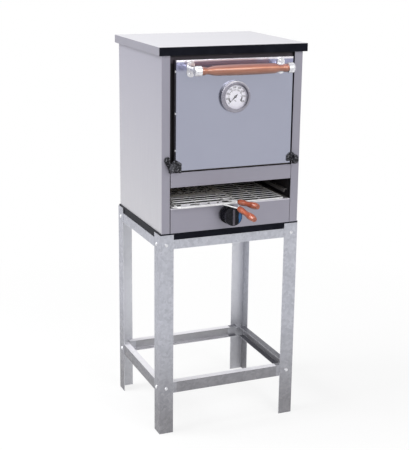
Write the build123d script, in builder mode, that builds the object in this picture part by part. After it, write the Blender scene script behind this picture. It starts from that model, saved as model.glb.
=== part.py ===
from build123d import *
import math
import os

# A free-standing gas oven for pizza trays: a sheet steel cabinet with a drop-down door over an open
# grill slot, on a bolted stand of galvanised angle legs. Millimetres, +X right, -Y front, +Z up.

os.makedirs("parts", exist_ok=True)

# Place of the cabinet's middle along Y, which puts the whole object's box over the origin
oven_y = 94.6

# Stand
leg_height = 769.0
leg_flange = 54.0
leg_thickness = 2.0
stand_side_overhang = 5.75
stand_front_setback = 5.0
stand_back_overhang = 10.0
top_rail_height = 34.0
top_rail_top = 748.0
lower_rail_height = 43.0
lower_rail_top = 201.5
rail_flange = 25.0
rail_thickness = 1.6
rail_end_gap = 6.0
bolt_inset = 26.0
side_bolt_inset = 31.0
bolt_radius = 3.0
bolt_head_radius = 7.0
bolt_head_height = 3.5
bolt_clearance = 0.15
nut_radius = 5.8
nut_height = 5.0

# Cabinet
body_width = 535.0
body_depth = 463.0
sheet = 1.5
base_frame_height = 6.0
base_frame_width = 42.0
cabinet_height = 653.5
cover_height = 29.0
cover_side_overhang = 12.5
cover_front_overhang = 10.8
cover_back_overhang = 11.0
trim_thickness = 1.2
trim_notch_x = -18.0
stile_width = 31.5
stile_return = 25.0
rear_flange = 22.0
fold_radius = 1.4
panel_gap = 0.3
seam_gap = 2.0
panel_proud = 1.0
lower_panel_fold = 2.5
slot_bottom = 865.0
slot_top = 940.5
sill_top = 993.5
slot_back_gap = 61.5
slot_floor_drop = 9.0

# Chamber
wall_start = 17.5
chamber_back_gap = 28.5
chamber_roof = 1393.0
seat_width = 20.0
seat_leg = 14.0
runner_depth = 15.0
runner_thickness = 2.0
runner_drop = 10.0
shelf_runner_depth = 30.0
shelf_runner_drop = 8.5
guide_depth = 12.0
guide_top = 895.0
tile_thickness = 18.0
tile_joint = 1.0
tile_seat = 980.0
burner_seat = 959.0
rack_levels = (1110.0, 1215.0)
rack_wire = 3.0
rack_end_bar = 2.6
rack_bar = 2.0
rack_pitch = 20.0
header_drop = 56.5

# Door
door_side_gap = 15.0
door_bottom = 1003.3
door_top = 1385.7
door_seat_gap = 5.0
door_sheet = 1.2
door_thickness = 30.5
door_fold = 14.0
door_pan_flange = 26.5
rivet_setback = 8.5
rivet_heights = (1074.0, 1203.0, 1347.0)
rivet_radius = 2.5
rivet_head_radius = 4.2
rivet_head = 1.6

# Door hinges
hinge_height = 1017.0
hinge_lead = 7.0
knuckle_radius = 15.5
knuckle_width = 5.0
door_knuckle_width = 6.0
knuckle_gap = 1.1
leaf_thickness = 4.0
hinge_pin_radius = 4.0
hinge_running_gap = 0.08

# Door handle
handle_height = 1357.0
handle_standoff = 80.0
grip_left = -164.7
grip_right = 159.1
cup_length = 23.4
cup_radius = 18.0
cup_rounding = 6.0
bead_length = 15.0
bead_radius = 14.6
neck_radius = 11.8
neck_place = 21.0
swell_radius = 18.8
spindle_radii = ((0.10, 15.9), (0.20, 17.8), (0.31, 18.6))
rod_radius = 4.0
rod_clearance = 0.15
rod_socket = 14.0
foot_places = (-170.0, 171.0)
foot_width = 28.0
foot_height = 56.0
foot_thickness = 4.0
foot_middle = 1355.5
arm_radius = 8.0
foot_screw_spread = 17.0
foot_screw_radius = 2.5
foot_screw_head_radius = 6.5
foot_screw_head = 3.5
foot_screw_length = 10.0

# Thermometer
gauge_x = -3.7
gauge_height = 1254.0
bezel_radius = 55.5
bezel_height = 16.0
window_radius = 41.6
dial_radius = 45.5
dial_thickness = 1.2
glass_thickness = 1.5
probe_radius = 4.0
probe_reach = 25.0
needle_length = 27.0
needle_tail = 13.0
needle_rest_angle = 224.0

# Gas
knob_x = -14.0
knob_height = 829.0
knob_radius = 35.0
knob_face_radius = 32.5
knob_barrel_radius = 27.0
knob_length = 50.0
knob_skirt = 7.0
knob_disc = 9.0
knob_bar_width = 10.0
knob_bar_height = 6.0
knob_air = 5.5
stem_radius = 4.0
plunger_radius = 6.0
running_gap = 0.06
burner_radius = 13.0
burner_feed_tube = 11.5
burner_wall = 1.5
burner_end_gap = 44.2
burner_rows = (-70.0, 70.0)
inlet_x = 190.0
inlet_height = 812.0
feed_radius = 4.0
supply_radius = 5.0
nozzle_radius = 5.0
nozzle_length = 26.0

# Grill shelf and folding toaster
shelf_wire = 3.0
shelf_end_bar = 2.6
shelf_bar = 1.6
shelf_bearer = 2.1
shelf_pitch = 28.0
shelf_front_overhang = 0.5
shelf_back_gap = 16.0
shelf_left_gap = 4.2
shelf_right_gap = 22.2
shelf_corner = 14.0
shelf_bearer_x = 120.0
shelf_lift = 0.3
toaster_inset = 9.5
toaster_width = 233.5
toaster_front_overhang = 36.0
toaster_back_gap = 66.0
toaster_wire = 3.0
toaster_bar = 1.4
toaster_upper_wire = 2.5
toaster_hinge_wire = 2.3
toaster_gap = 0.3
toaster_corner = 10.0
strip_inset = 9.0
strip_length = 156.0
strip_height = 12.0
strip_foot = 0.8
strip_thickness = 1.5
strip_slot = (37.0, 5.6)
strip_hole = (9.5, 5.6)
strip_hole_height = 7.2
strip_slot_place = 52.0
strip_hole_places = (104.5, 139.5)
lower_setback = 74.3
upper_setback = 54.0
mesh_front = 124.5
mesh_pitch_x = 34.0
mesh_pitch_y = 38.0
mesh_strand = 3.0
mesh_thickness = 1.2
handle_wire = 2.5
wood_bead_radius = 11.0
wood_neck_radius = 9.0
wood_bulb_radius = 12.4
wood_end_radius = 8.5

# Planes and levels that several pieces share
body_bottom = leg_height + base_frame_height
front_y = oven_y - body_depth / 2
back_y = oven_y + body_depth / 2
half_width = body_width / 2
panel_top = body_bottom + cabinet_height
cover_top = panel_top + sheet
stile_inner = half_width - stile_width
stand_half = half_width + stand_side_overhang
stand_front = front_y + stand_front_setback
stand_back = back_y + stand_back_overhang
wall_outer = stile_inner - panel_gap
wall_inner = wall_outer - sheet
wall_front = front_y + wall_start
chamber_back = back_y - chamber_back_gap
slot_back = back_y - slot_back_gap
panel_front = front_y - panel_proud
door_half = stile_inner - door_side_gap
door_back = wall_front - door_seat_gap
door_front = door_back - door_thickness
hinge_y = door_front - hinge_lead
front_half = stile_inner - seam_gap
shelf_seat = slot_bottom + 0.7


def keep(piece, name):
    """Labels a finished piece and writes it under its name."""
    piece.part.label = name
    export_step(piece.part, f"parts/{name}.step")


def block(x_limits, y_limits, z_limits, mode=Mode.ADD):
    """A rectangular block between three pairs of limits, in the part being built."""
    limits = (x_limits, y_limits, z_limits)
    with Locations(tuple((low + high) / 2 for low, high in limits)):
        Box(*(abs(high - low) for low, high in limits), mode=mode)


def bar(start, end, radius, mode=Mode.ADD):
    """A round bar from one point to another, in the part being built."""
    run = Vector(*end) - Vector(*start)
    with Locations(Plane(origin=start, z_dir=run)):
        Cylinder(radius, run.length, align=(Align.CENTER, Align.CENTER, Align.MIN), mode=mode)


def bent_bar(points, radius, bend):
    """A round bar along straight runs with one bend radius, in the part being built."""
    with BuildLine() as route:
        FilletPolyline(*points, radius=bend)
    first = Vector(*points[1]) - Vector(*points[0])
    with BuildSketch(Plane(origin=points[0], z_dir=first)) as section:
        Circle(radius)
    sweep(section.sketch, path=route.wires()[0])


# Stand: where each bolt stands, as a plane on the leg's outer face that looks outwards
def bolt_planes():
    planes = []
    for height in (top_rail_top - top_rail_height / 2, lower_rail_top - lower_rail_height / 2):
        for side in (-1, 1):
            for y, outward in ((stand_front, -1), (stand_back, 1)):
                x_face = side * stand_half
                front_bolt = (side * (stand_half - bolt_inset), y, height)
                side_bolt = (x_face, y - outward * side_bolt_inset, height)
                planes.append(Plane(origin=front_bolt, z_dir=(0, outward, 0)))
                planes.append(Plane(origin=side_bolt, z_dir=(side, 0, 0)))
    return planes


def drill_bolts(depth):
    """Drills every stand bolt's hole through what is being built."""
    with Locations(*bolt_planes()):
        Cylinder(bolt_radius + bolt_clearance, 2 * depth, mode=Mode.SUBTRACT)


# Legs: folded angles with one flange to the front or rear and one to the side
def leg(side, end_y, outward):
    with BuildPart() as angle:
        x_outer = side * stand_half
        x_inner = side * (stand_half - leg_flange)
        block((x_inner, x_outer), (end_y, end_y - outward * leg_thickness), (0, leg_height))
        x_skin = side * (stand_half - leg_thickness)
        block((x_skin, x_outer), (end_y, end_y - outward * leg_flange), (0, leg_height))
        corner = angle.edges().filter_by(Axis.Z).sort_by_distance((x_outer, end_y, leg_height / 2))[0]
        fillet(corner, fold_radius)
        drill_bolts(leg_thickness + 2)
    return angle


for side, side_name in ((-1, "left"), (1, "right")):
    keep(leg(side, stand_front, -1), f"leg_front_{side_name}")
    keep(leg(side, stand_back, 1), f"leg_rear_{side_name}")


# Rails: channels whose flanges point inwards, cut back at the ends so that they clear each other
def cross_rail(end_y, outward, top, height):
    with BuildPart() as rail:
        face = end_y - outward * leg_thickness
        web_half = stand_half - leg_thickness - rail_end_gap
        flange_half = stand_half - leg_flange + rail_flange - rail_end_gap
        block((-web_half, web_half), (face, face - outward * rail_thickness), (top - height, top))
        for low in (top - height, top - rail_thickness):
            inner = face - outward * rail_flange
            block((-flange_half, flange_half), (face, inner), (low, low + rail_thickness))
        drill_bolts(leg_thickness + rail_thickness + 2)
    return rail


def side_rail(side, top, height):
    with BuildPart() as rail:
        face = side * (stand_half - leg_thickness)
        setback = leg_thickness + rail_end_gap
        web_y = (stand_front + setback, stand_back - setback)
        flange_setback = leg_thickness + rail_flange + rail_end_gap / 2
        flange_y = (stand_front + flange_setback, stand_back - flange_setback)
        block((face, face - side * rail_thickness), web_y, (top - height, top))
        for low in (top - height, top - rail_thickness):
            block((face, face - side * rail_flange), flange_y, (low, low + rail_thickness))
        drill_bolts(leg_thickness + rail_thickness + 2)
    return rail


for level, top, height in (
    ("top", top_rail_top, top_rail_height),
    ("lower", lower_rail_top, lower_rail_height),
):
    keep(cross_rail(stand_front, -1, top, height), f"{level}_rail_front")
    keep(cross_rail(stand_back, 1, top, height), f"{level}_rail_rear")
    keep(side_rail(-1, top, height), f"{level}_rail_left")
    keep(side_rail(1, top, height), f"{level}_rail_right")

# Stand bolts: low domed heads outside, plain shanks through leg and rail
with BuildPart() as stand_bolts:
    shank = leg_thickness + rail_thickness + nut_height + 3
    for plane in bolt_planes():
        with BuildSketch(plane):
            Circle(bolt_head_radius)
        extrude(amount=bolt_head_height, taper=28)
        with BuildSketch(plane):
            Circle(bolt_radius)
        extrude(amount=-shank)
keep(stand_bolts, "stand_bolts")

# Stand nuts: hexagons that clamp the rails from inside
with BuildPart() as stand_nuts:
    for plane in bolt_planes():
        with BuildSketch(plane.offset(-leg_thickness - rail_thickness)):
            RegularPolygon(nut_radius, 6)
            Circle(bolt_radius + bolt_clearance, mode=Mode.SUBTRACT)
        extrude(amount=-nut_height)
keep(stand_nuts, "stand_nuts")

# Base pan: black tray that lies on the top rails between the legs and closes the cabinet below
pan_half = stand_half - leg_thickness - 2
pan_y = (stand_front + leg_thickness + 0.8, stand_back - leg_thickness - 7.8)
with BuildPart() as base_pan:
    block((-pan_half, pan_half), pan_y, (top_rail_top, leg_height))
    inner_y = (pan_y[0] + sheet, pan_y[1] - sheet)
    inner_half = pan_half - sheet
    block((-inner_half, inner_half), inner_y, (top_rail_top + sheet, leg_height), mode=Mode.SUBTRACT)
keep(base_pan, "base_pan")

# Base frame: flat black frame on the leg tops and the pan, which carries the cabinet
frame_half = stand_half - 2
frame_y = (front_y + 2, back_y + 4)
with BuildPart() as base_frame:
    block((-frame_half, frame_half), frame_y, (leg_height, body_bottom))
    hole_half = frame_half - base_frame_width
    hole_y = (frame_y[0] + base_frame_width, frame_y[1] - base_frame_width)
    block((-hole_half, hole_half), hole_y, (leg_height, body_bottom), mode=Mode.SUBTRACT)
keep(base_frame, "base_frame")


# Back panel screws: two columns, shared by the panel, the side panels' flanges and the screws
screw_radius = 2.0
screw_head_radius = 4.5
screw_head_height = 2.2
screw_x = half_width - rear_flange / 2
screw_heights = [body_bottom + 30 + index * (cabinet_height - 60) / 4 for index in range(5)]
screw_places = [(side * screw_x, height) for side in (-1, 1) for height in screw_heights]
skin_back = back_y - sheet - 0.2


def drill_screws():
    """Drills the back panel's screw holes through what is being built."""
    for x, height in screw_places:
        bar((x, back_y + 1, height), (x, skin_back - sheet - 1, height),
            screw_radius + bolt_clearance, mode=Mode.SUBTRACT)


# Side panels: outer skin, front stile with its return, and a rear flange
def side_panel(side):
    with BuildPart() as panel:
        outer = side * half_width
        skin = side * (half_width - sheet)
        inner = side * stile_inner
        height = (body_bottom, panel_top)
        block((skin, outer), (front_y, skin_back), height)
        block((inner, outer), (front_y, front_y + sheet), height)
        block((inner, inner + side * sheet), (front_y, front_y + stile_return), height)
        block((side * (half_width - rear_flange), outer), (skin_back - sheet, skin_back), height)
        middle = (body_bottom + panel_top) / 2
        upright = panel.edges().filter_by(Axis.Z)
        fillet(upright.sort_by_distance((outer, front_y, middle))[0], fold_radius)
        upright = panel.edges().filter_by(Axis.Z)
        fillet(upright.sort_by_distance((inner, front_y, middle))[0], fold_radius)
        drill_screws()
    return panel


keep(side_panel(-1), "side_panel_left")
keep(side_panel(1), "side_panel_right")

# Back panel: closes the cabinet behind, with flue slots near the top and the gas inlet's hole
flue_slots = 8
flue_slot_width = 34.0
flue_slot_height = 6.0
nozzle_neck_radius = 7.0
with BuildPart() as back_panel:
    block((-half_width, half_width), (back_y - sheet, back_y), (body_bottom, panel_top))
    drill_screws()
    for row in range(2):
        for column in range(flue_slots):
            x = (column - (flue_slots - 1) / 2) * (flue_slot_width + 12)
            low = panel_top - 40 - row * 16
            block((x - flue_slot_width / 2, x + flue_slot_width / 2), (back_y - sheet - 1, back_y + 1),
                  (low - flue_slot_height, low), mode=Mode.SUBTRACT)
    bar((inlet_x, back_y + 1, inlet_height), (inlet_x, back_y - sheet - 1, inlet_height),
        nozzle_neck_radius + 0.3, mode=Mode.SUBTRACT)
keep(back_panel, "back_panel")

with BuildPart() as panel_screws:
    for x, height in screw_places:
        bar((x, back_y, height), (x, back_y + screw_head_height, height), screw_head_radius)
        bar((x, back_y, height), (x, skin_back - sheet - 2, height), screw_radius)
keep(panel_screws, "panel_screws")

# Top cover: shallow tray turned downwards, wider than the cabinet all round
cover_half = half_width + cover_side_overhang
cover_y = (front_y - cover_front_overhang, back_y + cover_back_overhang)
with BuildPart() as top_cover:
    block((-cover_half, cover_half), cover_y, (cover_top - cover_height, cover_top))
    top_edges = top_cover.faces().sort_by(Axis.Z)[-1].edges()
    fillet(top_edges, fold_radius)
    inner_half = cover_half - sheet
    inner_y = (cover_y[0] + sheet, cover_y[1] - sheet)
    block((-inner_half, inner_half), inner_y, (cover_top - cover_height, panel_top), mode=Mode.SUBTRACT)
keep(top_cover, "top_cover")

# Cover trim: black strip over the cover's front flange, with a small notch in its lower edge
with BuildPart() as cover_front_trim:
    trim_y = (cover_y[0] - trim_thickness, cover_y[0])
    block((-cover_half, cover_half), trim_y, (cover_top - cover_height, cover_top - fold_radius))
    notch = (trim_notch_x - 4, trim_notch_x + 4)
    low = cover_top - cover_height
    block(notch, (trim_y[0] - 1, trim_y[1] + 1), (low, low + 3), mode=Mode.SUBTRACT)
keep(cover_front_trim, "cover_front_trim")

# Fascia strip: folded strip between the slot and the door, whose top flange is the chamber's sill
with BuildPart() as fascia_strip:
    block((-front_half, front_half), (panel_front, panel_front + sheet), (slot_top, sill_top))
    block((-front_half, front_half), (panel_front, wall_front - 0.5), (sill_top - sheet, sill_top))
    block((-front_half, front_half), (panel_front, front_y + 10), (slot_top, slot_top + sheet))
    front_edges = fascia_strip.edges().filter_by(Axis.X).sort_by(Axis.Y)[:2]
    fillet(front_edges, 1.0)
keep(fascia_strip, "fascia_strip")

# Lower panel: folded cover over the gas valve, with the hole for the valve's stem
bonnet_radius = 9.0
panel_flange_back = front_y + 14
with BuildPart() as lower_panel:
    panel_z = (body_bottom, slot_bottom)
    block((-front_half, front_half), (panel_front, panel_front + sheet), panel_z)
    for low in (panel_z[0], panel_z[1] - sheet):
        block((-front_half, front_half), (panel_front, panel_flange_back), (low, low + sheet))
    for side in (-1, 1):
        flange = (side * front_half, side * (front_half - sheet))
        block(flange, (panel_front, panel_flange_back), panel_z)
    top_edge = lower_panel.edges().filter_by(Axis.X).sort_by_distance((0, panel_front, slot_bottom))[0]
    fillet(top_edge, lower_panel_fold)
    bar((knob_x, panel_front - 1, knob_height), (knob_x, front_y + 5, knob_height),
        stem_radius + 2, mode=Mode.SUBTRACT)
keep(lower_panel, "lower_panel")

# Door header: recessed strip behind the top of the door
panel_half = stile_inner - panel_gap
with BuildPart() as door_header:
    header_y = wall_front - panel_gap - sheet
    block((-panel_half, panel_half), (header_y, header_y + sheet), (panel_top - header_drop, panel_top))
    block((-panel_half, panel_half), (header_y, header_y + 12), (panel_top - sheet, panel_top))
keep(door_header, "door_header")


# Inner walls: one plain sheet a side from the base frame to the roof
with BuildPart() as inner_walls:
    for side in (-1, 1):
        block((side * wall_inner, side * wall_outer), (wall_front, chamber_back),
              (body_bottom, chamber_roof))
keep(inner_walls, "inner_walls")


# Wall runners: angles spot welded to the inner walls, each with a floor and one flange down
def runner(side, depth, y_limits, top, drop, flange_inset):
    """An angle whose flange stands the given distance in from the wall."""
    wall = side * wall_inner
    block((wall, wall - side * depth), y_limits, (top - runner_thickness, top))
    near = wall - side * flange_inset
    block((near, near - side * runner_thickness), y_limits, (top - drop, top))


# The shelf, the burner, the hearth tiles and the racks lie on runners, a guide above the shelf keeps
# it level, and an upright angle in front is the door's seat
slot_run = (front_y + stile_return, slot_back - 1)
chamber_run = (wall_front + seat_leg + 1, chamber_back)
tile_top = tile_seat + tile_thickness
with BuildPart() as wall_runners:
    for side in (-1, 1):
        runner(side, shelf_runner_depth, slot_run, shelf_seat, shelf_runner_drop, 0)
        runner(side, guide_depth, slot_run, guide_top, guide_depth, guide_depth - runner_thickness)
        runner(side, runner_depth, slot_run, burner_seat, runner_drop, 0)
        runner(side, runner_depth, (wall_front + 2, chamber_back), tile_seat, runner_drop, 0)
        for level in rack_levels:
            runner(side, shelf_runner_depth, chamber_run, level, runner_drop, 0)
        wall = side * wall_inner
        seat_z = (tile_top + 1, chamber_roof)
        block((wall, wall - side * seat_width), (wall_front, wall_front + runner_thickness), seat_z)
        block((wall, wall - side * runner_thickness), (wall_front, wall_front + seat_leg), seat_z)
keep(wall_runners, "wall_runners")

# Chamber liner: roof and back in one bent sheet
liner_bottom = tile_seat + 5
with BuildPart() as chamber_liner:
    block((-wall_outer, wall_outer), (wall_front, chamber_back + sheet),
          (chamber_roof, chamber_roof + sheet))
    block((-wall_outer, wall_outer), (chamber_back, chamber_back + sheet),
          (liner_bottom, chamber_roof + sheet))
keep(chamber_liner, "chamber_liner")

# Slot floor: heat shield under the grill shelf, bent up behind as the slot's back wall
slot_floor_top = slot_bottom - slot_floor_drop
burner_axis = burner_seat + 1.5
floor_half = wall_inner - runner_thickness - 0.2
burner_mouth_radius = burner_feed_tube + 1
with BuildPart() as slot_floor:
    block((-floor_half, floor_half), (front_y + stile_return, slot_back),
          (slot_floor_top - sheet, slot_floor_top))
    block((-floor_half, floor_half), (slot_back, slot_back + sheet),
          (slot_floor_top - sheet, tile_seat - runner_thickness))
    bar((0, slot_back - 1, burner_axis), (0, slot_back + sheet + 1, burner_axis),
        burner_mouth_radius, mode=Mode.SUBTRACT)
keep(slot_floor, "slot_floor")

# Chamber insulation: boards beside, above and behind the chamber
board_gap = 0.4
with BuildPart() as chamber_insulation:
    for side in (-1, 1):
        block((side * (wall_outer + board_gap), side * (half_width - sheet - board_gap)),
              (front_y + stile_return + 2, chamber_back), (sill_top, chamber_roof - 1))
    block((-(wall_outer - 1), wall_outer - 1),
          (wall_front + 14, chamber_back - 2),
          (chamber_roof + sheet + board_gap, panel_top - board_gap))
    block((-(wall_outer - 1), wall_outer - 1),
          (chamber_back + sheet + board_gap, skin_back - sheet - 1),
          (liner_bottom, chamber_roof - 1))
keep(chamber_insulation, "chamber_insulation")

# Hearth tiles: two firebrick slabs side by side from front to rear, carried on the side runners
with BuildPart() as hearth_tiles:
    tile_half = wall_inner - 1
    tile_y = (wall_front + 4, chamber_back - 3)
    tile_middle = sum(tile_y) / 2
    for y_limits in ((tile_y[0], tile_middle - tile_joint / 2), (tile_middle + tile_joint / 2, tile_y[1])):
        block((-tile_half, tile_half), y_limits, (tile_seat, tile_top))
    fillet(hearth_tiles.faces().group_by(Axis.Z)[-1].edges(), 1.5)
keep(hearth_tiles, "hearth_tiles")

# Oven racks: two loose wire racks on the upper runners, narrow enough to pass the door's seat
rack_half = wall_inner - seat_width - 1
rack_y = (wall_front + 20, chamber_back - 12)
with BuildPart() as oven_racks:
    for level in rack_levels:
        centre = level + 0.3 + rack_wire
        side_x = rack_half - rack_wire
        bent_bar(
            [(-side_x, rack_y[1], centre), (-side_x, rack_y[0], centre),
             (side_x, rack_y[0], centre), (side_x, rack_y[1], centre)],
            rack_wire, 12)
        bar((-side_x, rack_y[1] - rack_wire, centre), (side_x, rack_y[1] - rack_wire, centre), rack_end_bar)
        count = int(2 * (rack_half - 20) / rack_pitch)
        for index in range(count + 1):
            x = (index - count / 2 + 0.25) * rack_pitch
            bar((x, rack_y[0], centre + rack_wire), (x, rack_y[1] - rack_wire, centre + rack_wire), rack_bar)
keep(oven_racks, "oven_racks")

# Burner: two ported cross tubes fed by one tube from behind, carried by flat ends on the runners
port_radius = 1.5
port_pitch = 24.0
burner_span = wall_inner - burner_end_gap
with BuildPart() as burner:
    rows = [oven_y + row for row in burner_rows]
    mouth_y = slot_back + sheet + 4
    for y in rows:
        bar((-burner_span, y, burner_axis), (burner_span, y, burner_axis), burner_radius)
        block((-(wall_inner - 1), wall_inner - 1), (y - 10, y + 10),
              (burner_seat, burner_seat + 3))
    bar((0, rows[0], burner_axis), (0, mouth_y, burner_axis), burner_feed_tube)
    bar((0, rows[0], burner_axis), (0, mouth_y + 1, burner_axis), burner_feed_tube - burner_wall,
        mode=Mode.SUBTRACT)
    bore = burner_radius - burner_wall
    for y in rows:
        end = burner_span - burner_wall
        bar((-end, y, burner_axis), (end, y, burner_axis), bore, mode=Mode.SUBTRACT)
        with BuildSketch(Plane.XY.offset(burner_axis)):
            with Locations((0, y)):
                with GridLocations(port_pitch, 1, 14, 1):
                    Circle(port_radius)
        extrude(amount=burner_radius + 1, mode=Mode.SUBTRACT)
keep(burner, "burner")

# Gas valve: brass body behind the lower panel, bored for the plunger and the stem
valve_half = 15.0
valve_y = (front_y + 9.5, front_y + 50)
plunger_y = (front_y + 5.5, front_y + 25)
with BuildPart() as gas_valve:
    block((knob_x - valve_half, knob_x + valve_half), valve_y,
          (knob_height - valve_half - 4, knob_height + valve_half))
    bar((knob_x, front_y + 0.8, knob_height), (knob_x, valve_y[0], knob_height), bonnet_radius)
    bar((knob_x, front_y, knob_height), (knob_x, front_y + 34, knob_height),
        plunger_radius + running_gap, mode=Mode.SUBTRACT)
keep(gas_valve, "gas_valve")

# Valve plunger: sleeve that slides in the valve and carries the turning stem
with BuildPart() as valve_plunger:
    bar((knob_x, plunger_y[0], knob_height), (knob_x, plunger_y[1], knob_height), plunger_radius)
    bar((knob_x, plunger_y[0] - 1, knob_height), (knob_x, plunger_y[1] + 1, knob_height),
        stem_radius + running_gap, mode=Mode.SUBTRACT)
keep(valve_plunger, "valve_plunger")

# Valve stem: from inside the plunger, through the lower panel, into the knob
knob_back = panel_front - knob_air
knob_front = knob_back - knob_length
with BuildPart() as valve_stem:
    stem_y = (knob_front + 12, plunger_y[1] - 1)
    bar((knob_x, stem_y[0], knob_height), (knob_x, stem_y[1], knob_height), stem_radius)
    bar((knob_x, plunger_y[0] - 2.2, knob_height), (knob_x, plunger_y[0] - 0.2, knob_height),
        stem_radius + 1)
keep(valve_stem, "valve_stem")

# Control knob: skirt, narrower barrel and front disc with a raised grip bar
with BuildPart() as control_knob:
    bar((knob_x, knob_back, knob_height), (knob_x, knob_back - knob_skirt, knob_height), knob_radius)
    bar((knob_x, knob_back, knob_height), (knob_x, knob_front, knob_height), knob_barrel_radius)
    bar((knob_x, knob_front + knob_disc, knob_height), (knob_x, knob_front, knob_height),
        knob_face_radius)
    rims = control_knob.edges().filter_by(GeomType.CIRCLE).sort_by(Axis.Y)
    fillet(rims[0], 2.0)
    bar_half = knob_bar_width / 2
    block((knob_x - bar_half, knob_x + bar_half), (knob_front + 1, knob_front - knob_bar_height),
          (knob_height - knob_face_radius + 4, knob_height + knob_face_radius - 4))
    fillet(control_knob.faces().sort_by(Axis.Y)[0].edges(), 2.0)
    bar((knob_x, knob_back + 1, knob_height), (knob_x, knob_front + 11.8, knob_height),
        stem_radius + 0.05, mode=Mode.SUBTRACT)
keep(control_knob, "control_knob")

# Burner feed pipe: from the valve back under the slot, up behind it and forward to the injector
feed_bend = 18.0
feed_rise_y = slot_back + 42
with BuildPart() as burner_feed_pipe:
    bent_bar(
        [(knob_x, valve_y[1], knob_height), (knob_x, feed_rise_y, knob_height),
         (0, feed_rise_y, burner_axis), (0, mouth_y + 8, burner_axis)],
        feed_radius, feed_bend)
    bar((0, mouth_y + 12, burner_axis), (0, mouth_y + 0.5, burner_axis), burner_feed_tube - 3)
keep(burner_feed_pipe, "burner_feed_pipe")

# Supply pipe: from the gas inlet behind, along the right side, to the valve's side
supply_y = front_y + 38
with BuildPart() as supply_pipe:
    bent_bar(
        [(knob_x + valve_half, supply_y, inlet_height + 3), (inlet_x - 40, supply_y, inlet_height + 3),
         (inlet_x, supply_y + 60, inlet_height), (inlet_x, skin_back - 10, inlet_height)],
        supply_radius, 24)
keep(supply_pipe, "supply_pipe")

# Hose nozzle: bulkhead fitting in the back panel with a plain spigot for the gas hose
with BuildPart() as hose_nozzle:
    shoulder = back_y - sheet
    with BuildSketch(Plane(origin=(inlet_x, shoulder, inlet_height), z_dir=(0, -1, 0))):
        RegularPolygon(11, 6)
    extrude(amount=shoulder - (skin_back - 10))
    bar((inlet_x, shoulder, inlet_height), (inlet_x, back_y + 5, inlet_height), nozzle_neck_radius)
    bar((inlet_x, back_y, inlet_height), (inlet_x, back_y + nozzle_length, inlet_height), nozzle_radius)
    tip = hose_nozzle.edges().filter_by(GeomType.CIRCLE).sort_by(Axis.Y)[-1]
    chamfer(tip, 1.0)
    bar((inlet_x, back_y + nozzle_length + 1, inlet_height), (inlet_x, skin_back - 9, inlet_height),
        3, mode=Mode.SUBTRACT)
keep(hose_nozzle, "hose_nozzle")


# Door hinges: a knuckle is a disc round the hinge axis with its web back to the leaf
def knuckle(x_limits, back):
    bar((x_limits[0], hinge_y, hinge_height), (x_limits[1], hinge_y, hinge_height), knuckle_radius)
    half = knuckle_radius - 2
    block(x_limits, (hinge_y, back), (hinge_height - half, hinge_height + half))


door_knuckle_end = stile_inner + 0.5
door_knuckle = (door_knuckle_end - door_knuckle_width, door_knuckle_end)
fixed_knuckle = (door_knuckle_end + knuckle_gap, door_knuckle_end + knuckle_gap + knuckle_width)
pin_end = door_knuckle[0] + 0.2

# Fixed leaves: lobes on the stiles, wide above on the left and wide below on the right, each with
# one knuckle that holds the pin. An outline gives distances from the stile's edge and the hinge axis.
left_leaf = [
    (1.2, -23), (1.2, 29), (6, 34.5), (12.5, 35.5), (19, 32), (22.5, 25), (22, 18), (6.5, -10), (5, -23),
]
right_leaf = [(1.2, -21), (1.2, 23), (11, 12), (23, 7), (28, -1), (28, -13), (22.5, -22), (13, -23)]
with BuildPart() as hinge_leaves:
    for side, leaf_outline in ((-1, left_leaf), (1, right_leaf)):
        with BuildSketch(Plane.XZ.offset(-front_y)) as lobe:
            with BuildLine():
                Polyline(
                    *((side * (stile_inner + out), hinge_height + up) for out, up in leaf_outline),
                    close=True)
            make_face()
            fillet(lobe.vertices(), 1.5)
        extrude(amount=leaf_thickness)
        knuckle([side * x for x in fixed_knuckle], front_y)
        bar((side * (fixed_knuckle[0] - 1), hinge_y, hinge_height),
            (side * (fixed_knuckle[1] + 1), hinge_y, hinge_height),
            hinge_pin_radius + 0.02, mode=Mode.SUBTRACT)
keep(hinge_leaves, "hinge_leaves")

# Hinge pins: pressed in the fixed knuckles, turning in the door's knuckles
with BuildPart() as hinge_pins:
    for side in (-1, 1):
        bar((side * pin_end, hinge_y, hinge_height), (side * (fixed_knuckle[1] + 2), hinge_y, hinge_height),
            hinge_pin_radius)
        bar((side * (fixed_knuckle[1] + 0.1), hinge_y, hinge_height),
            (side * (fixed_knuckle[1] + 2.6), hinge_y, hinge_height), hinge_pin_radius + 2)
keep(hinge_pins, "hinge_pins")

# Hinge arms: leaves on the door's face, cut to a slope on top, each with one knuckle. An outline
# gives distances inwards from the knuckle's outer face and up from the hinge axis.
left_arm = [(0, -8), (0, 17), (13, 27), (35, 13.5), (35, -20.5), (25, -20.5), (21, -15), (7, -15)]
right_arm = [(0, -8), (0, 17), (17, 25.5), (31, 14), (31, -6.5), (20.5, -6.5)]
with BuildPart() as door_hinge_arms:
    for side, arm_outline in ((-1, left_arm), (1, right_arm)):
        with BuildSketch(Plane.XZ.offset(-door_front)) as arm:
            with BuildLine():
                Polyline(
                    *((side * (door_knuckle[1] - inward), hinge_height + up) for inward, up in arm_outline),
                    close=True)
            make_face()
            fillet(arm.vertices(), 1.5)
        extrude(amount=leaf_thickness)
        knuckle([side * x for x in door_knuckle], door_front)
        bar((side * (door_knuckle[0] - 1), hinge_y, hinge_height),
            (side * (door_knuckle[1] + 1), hinge_y, hinge_height),
            hinge_pin_radius + hinge_running_gap, mode=Mode.SUBTRACT)
keep(door_hinge_arms, "door_hinge_arms")

# Door skin: polished front sheet folded back on all four sides
door_z = (door_bottom, door_top)
skin_back_edge = door_front + door_fold
rivet_y = door_front + rivet_setback
probe_hole = probe_radius + 2.5


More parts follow.
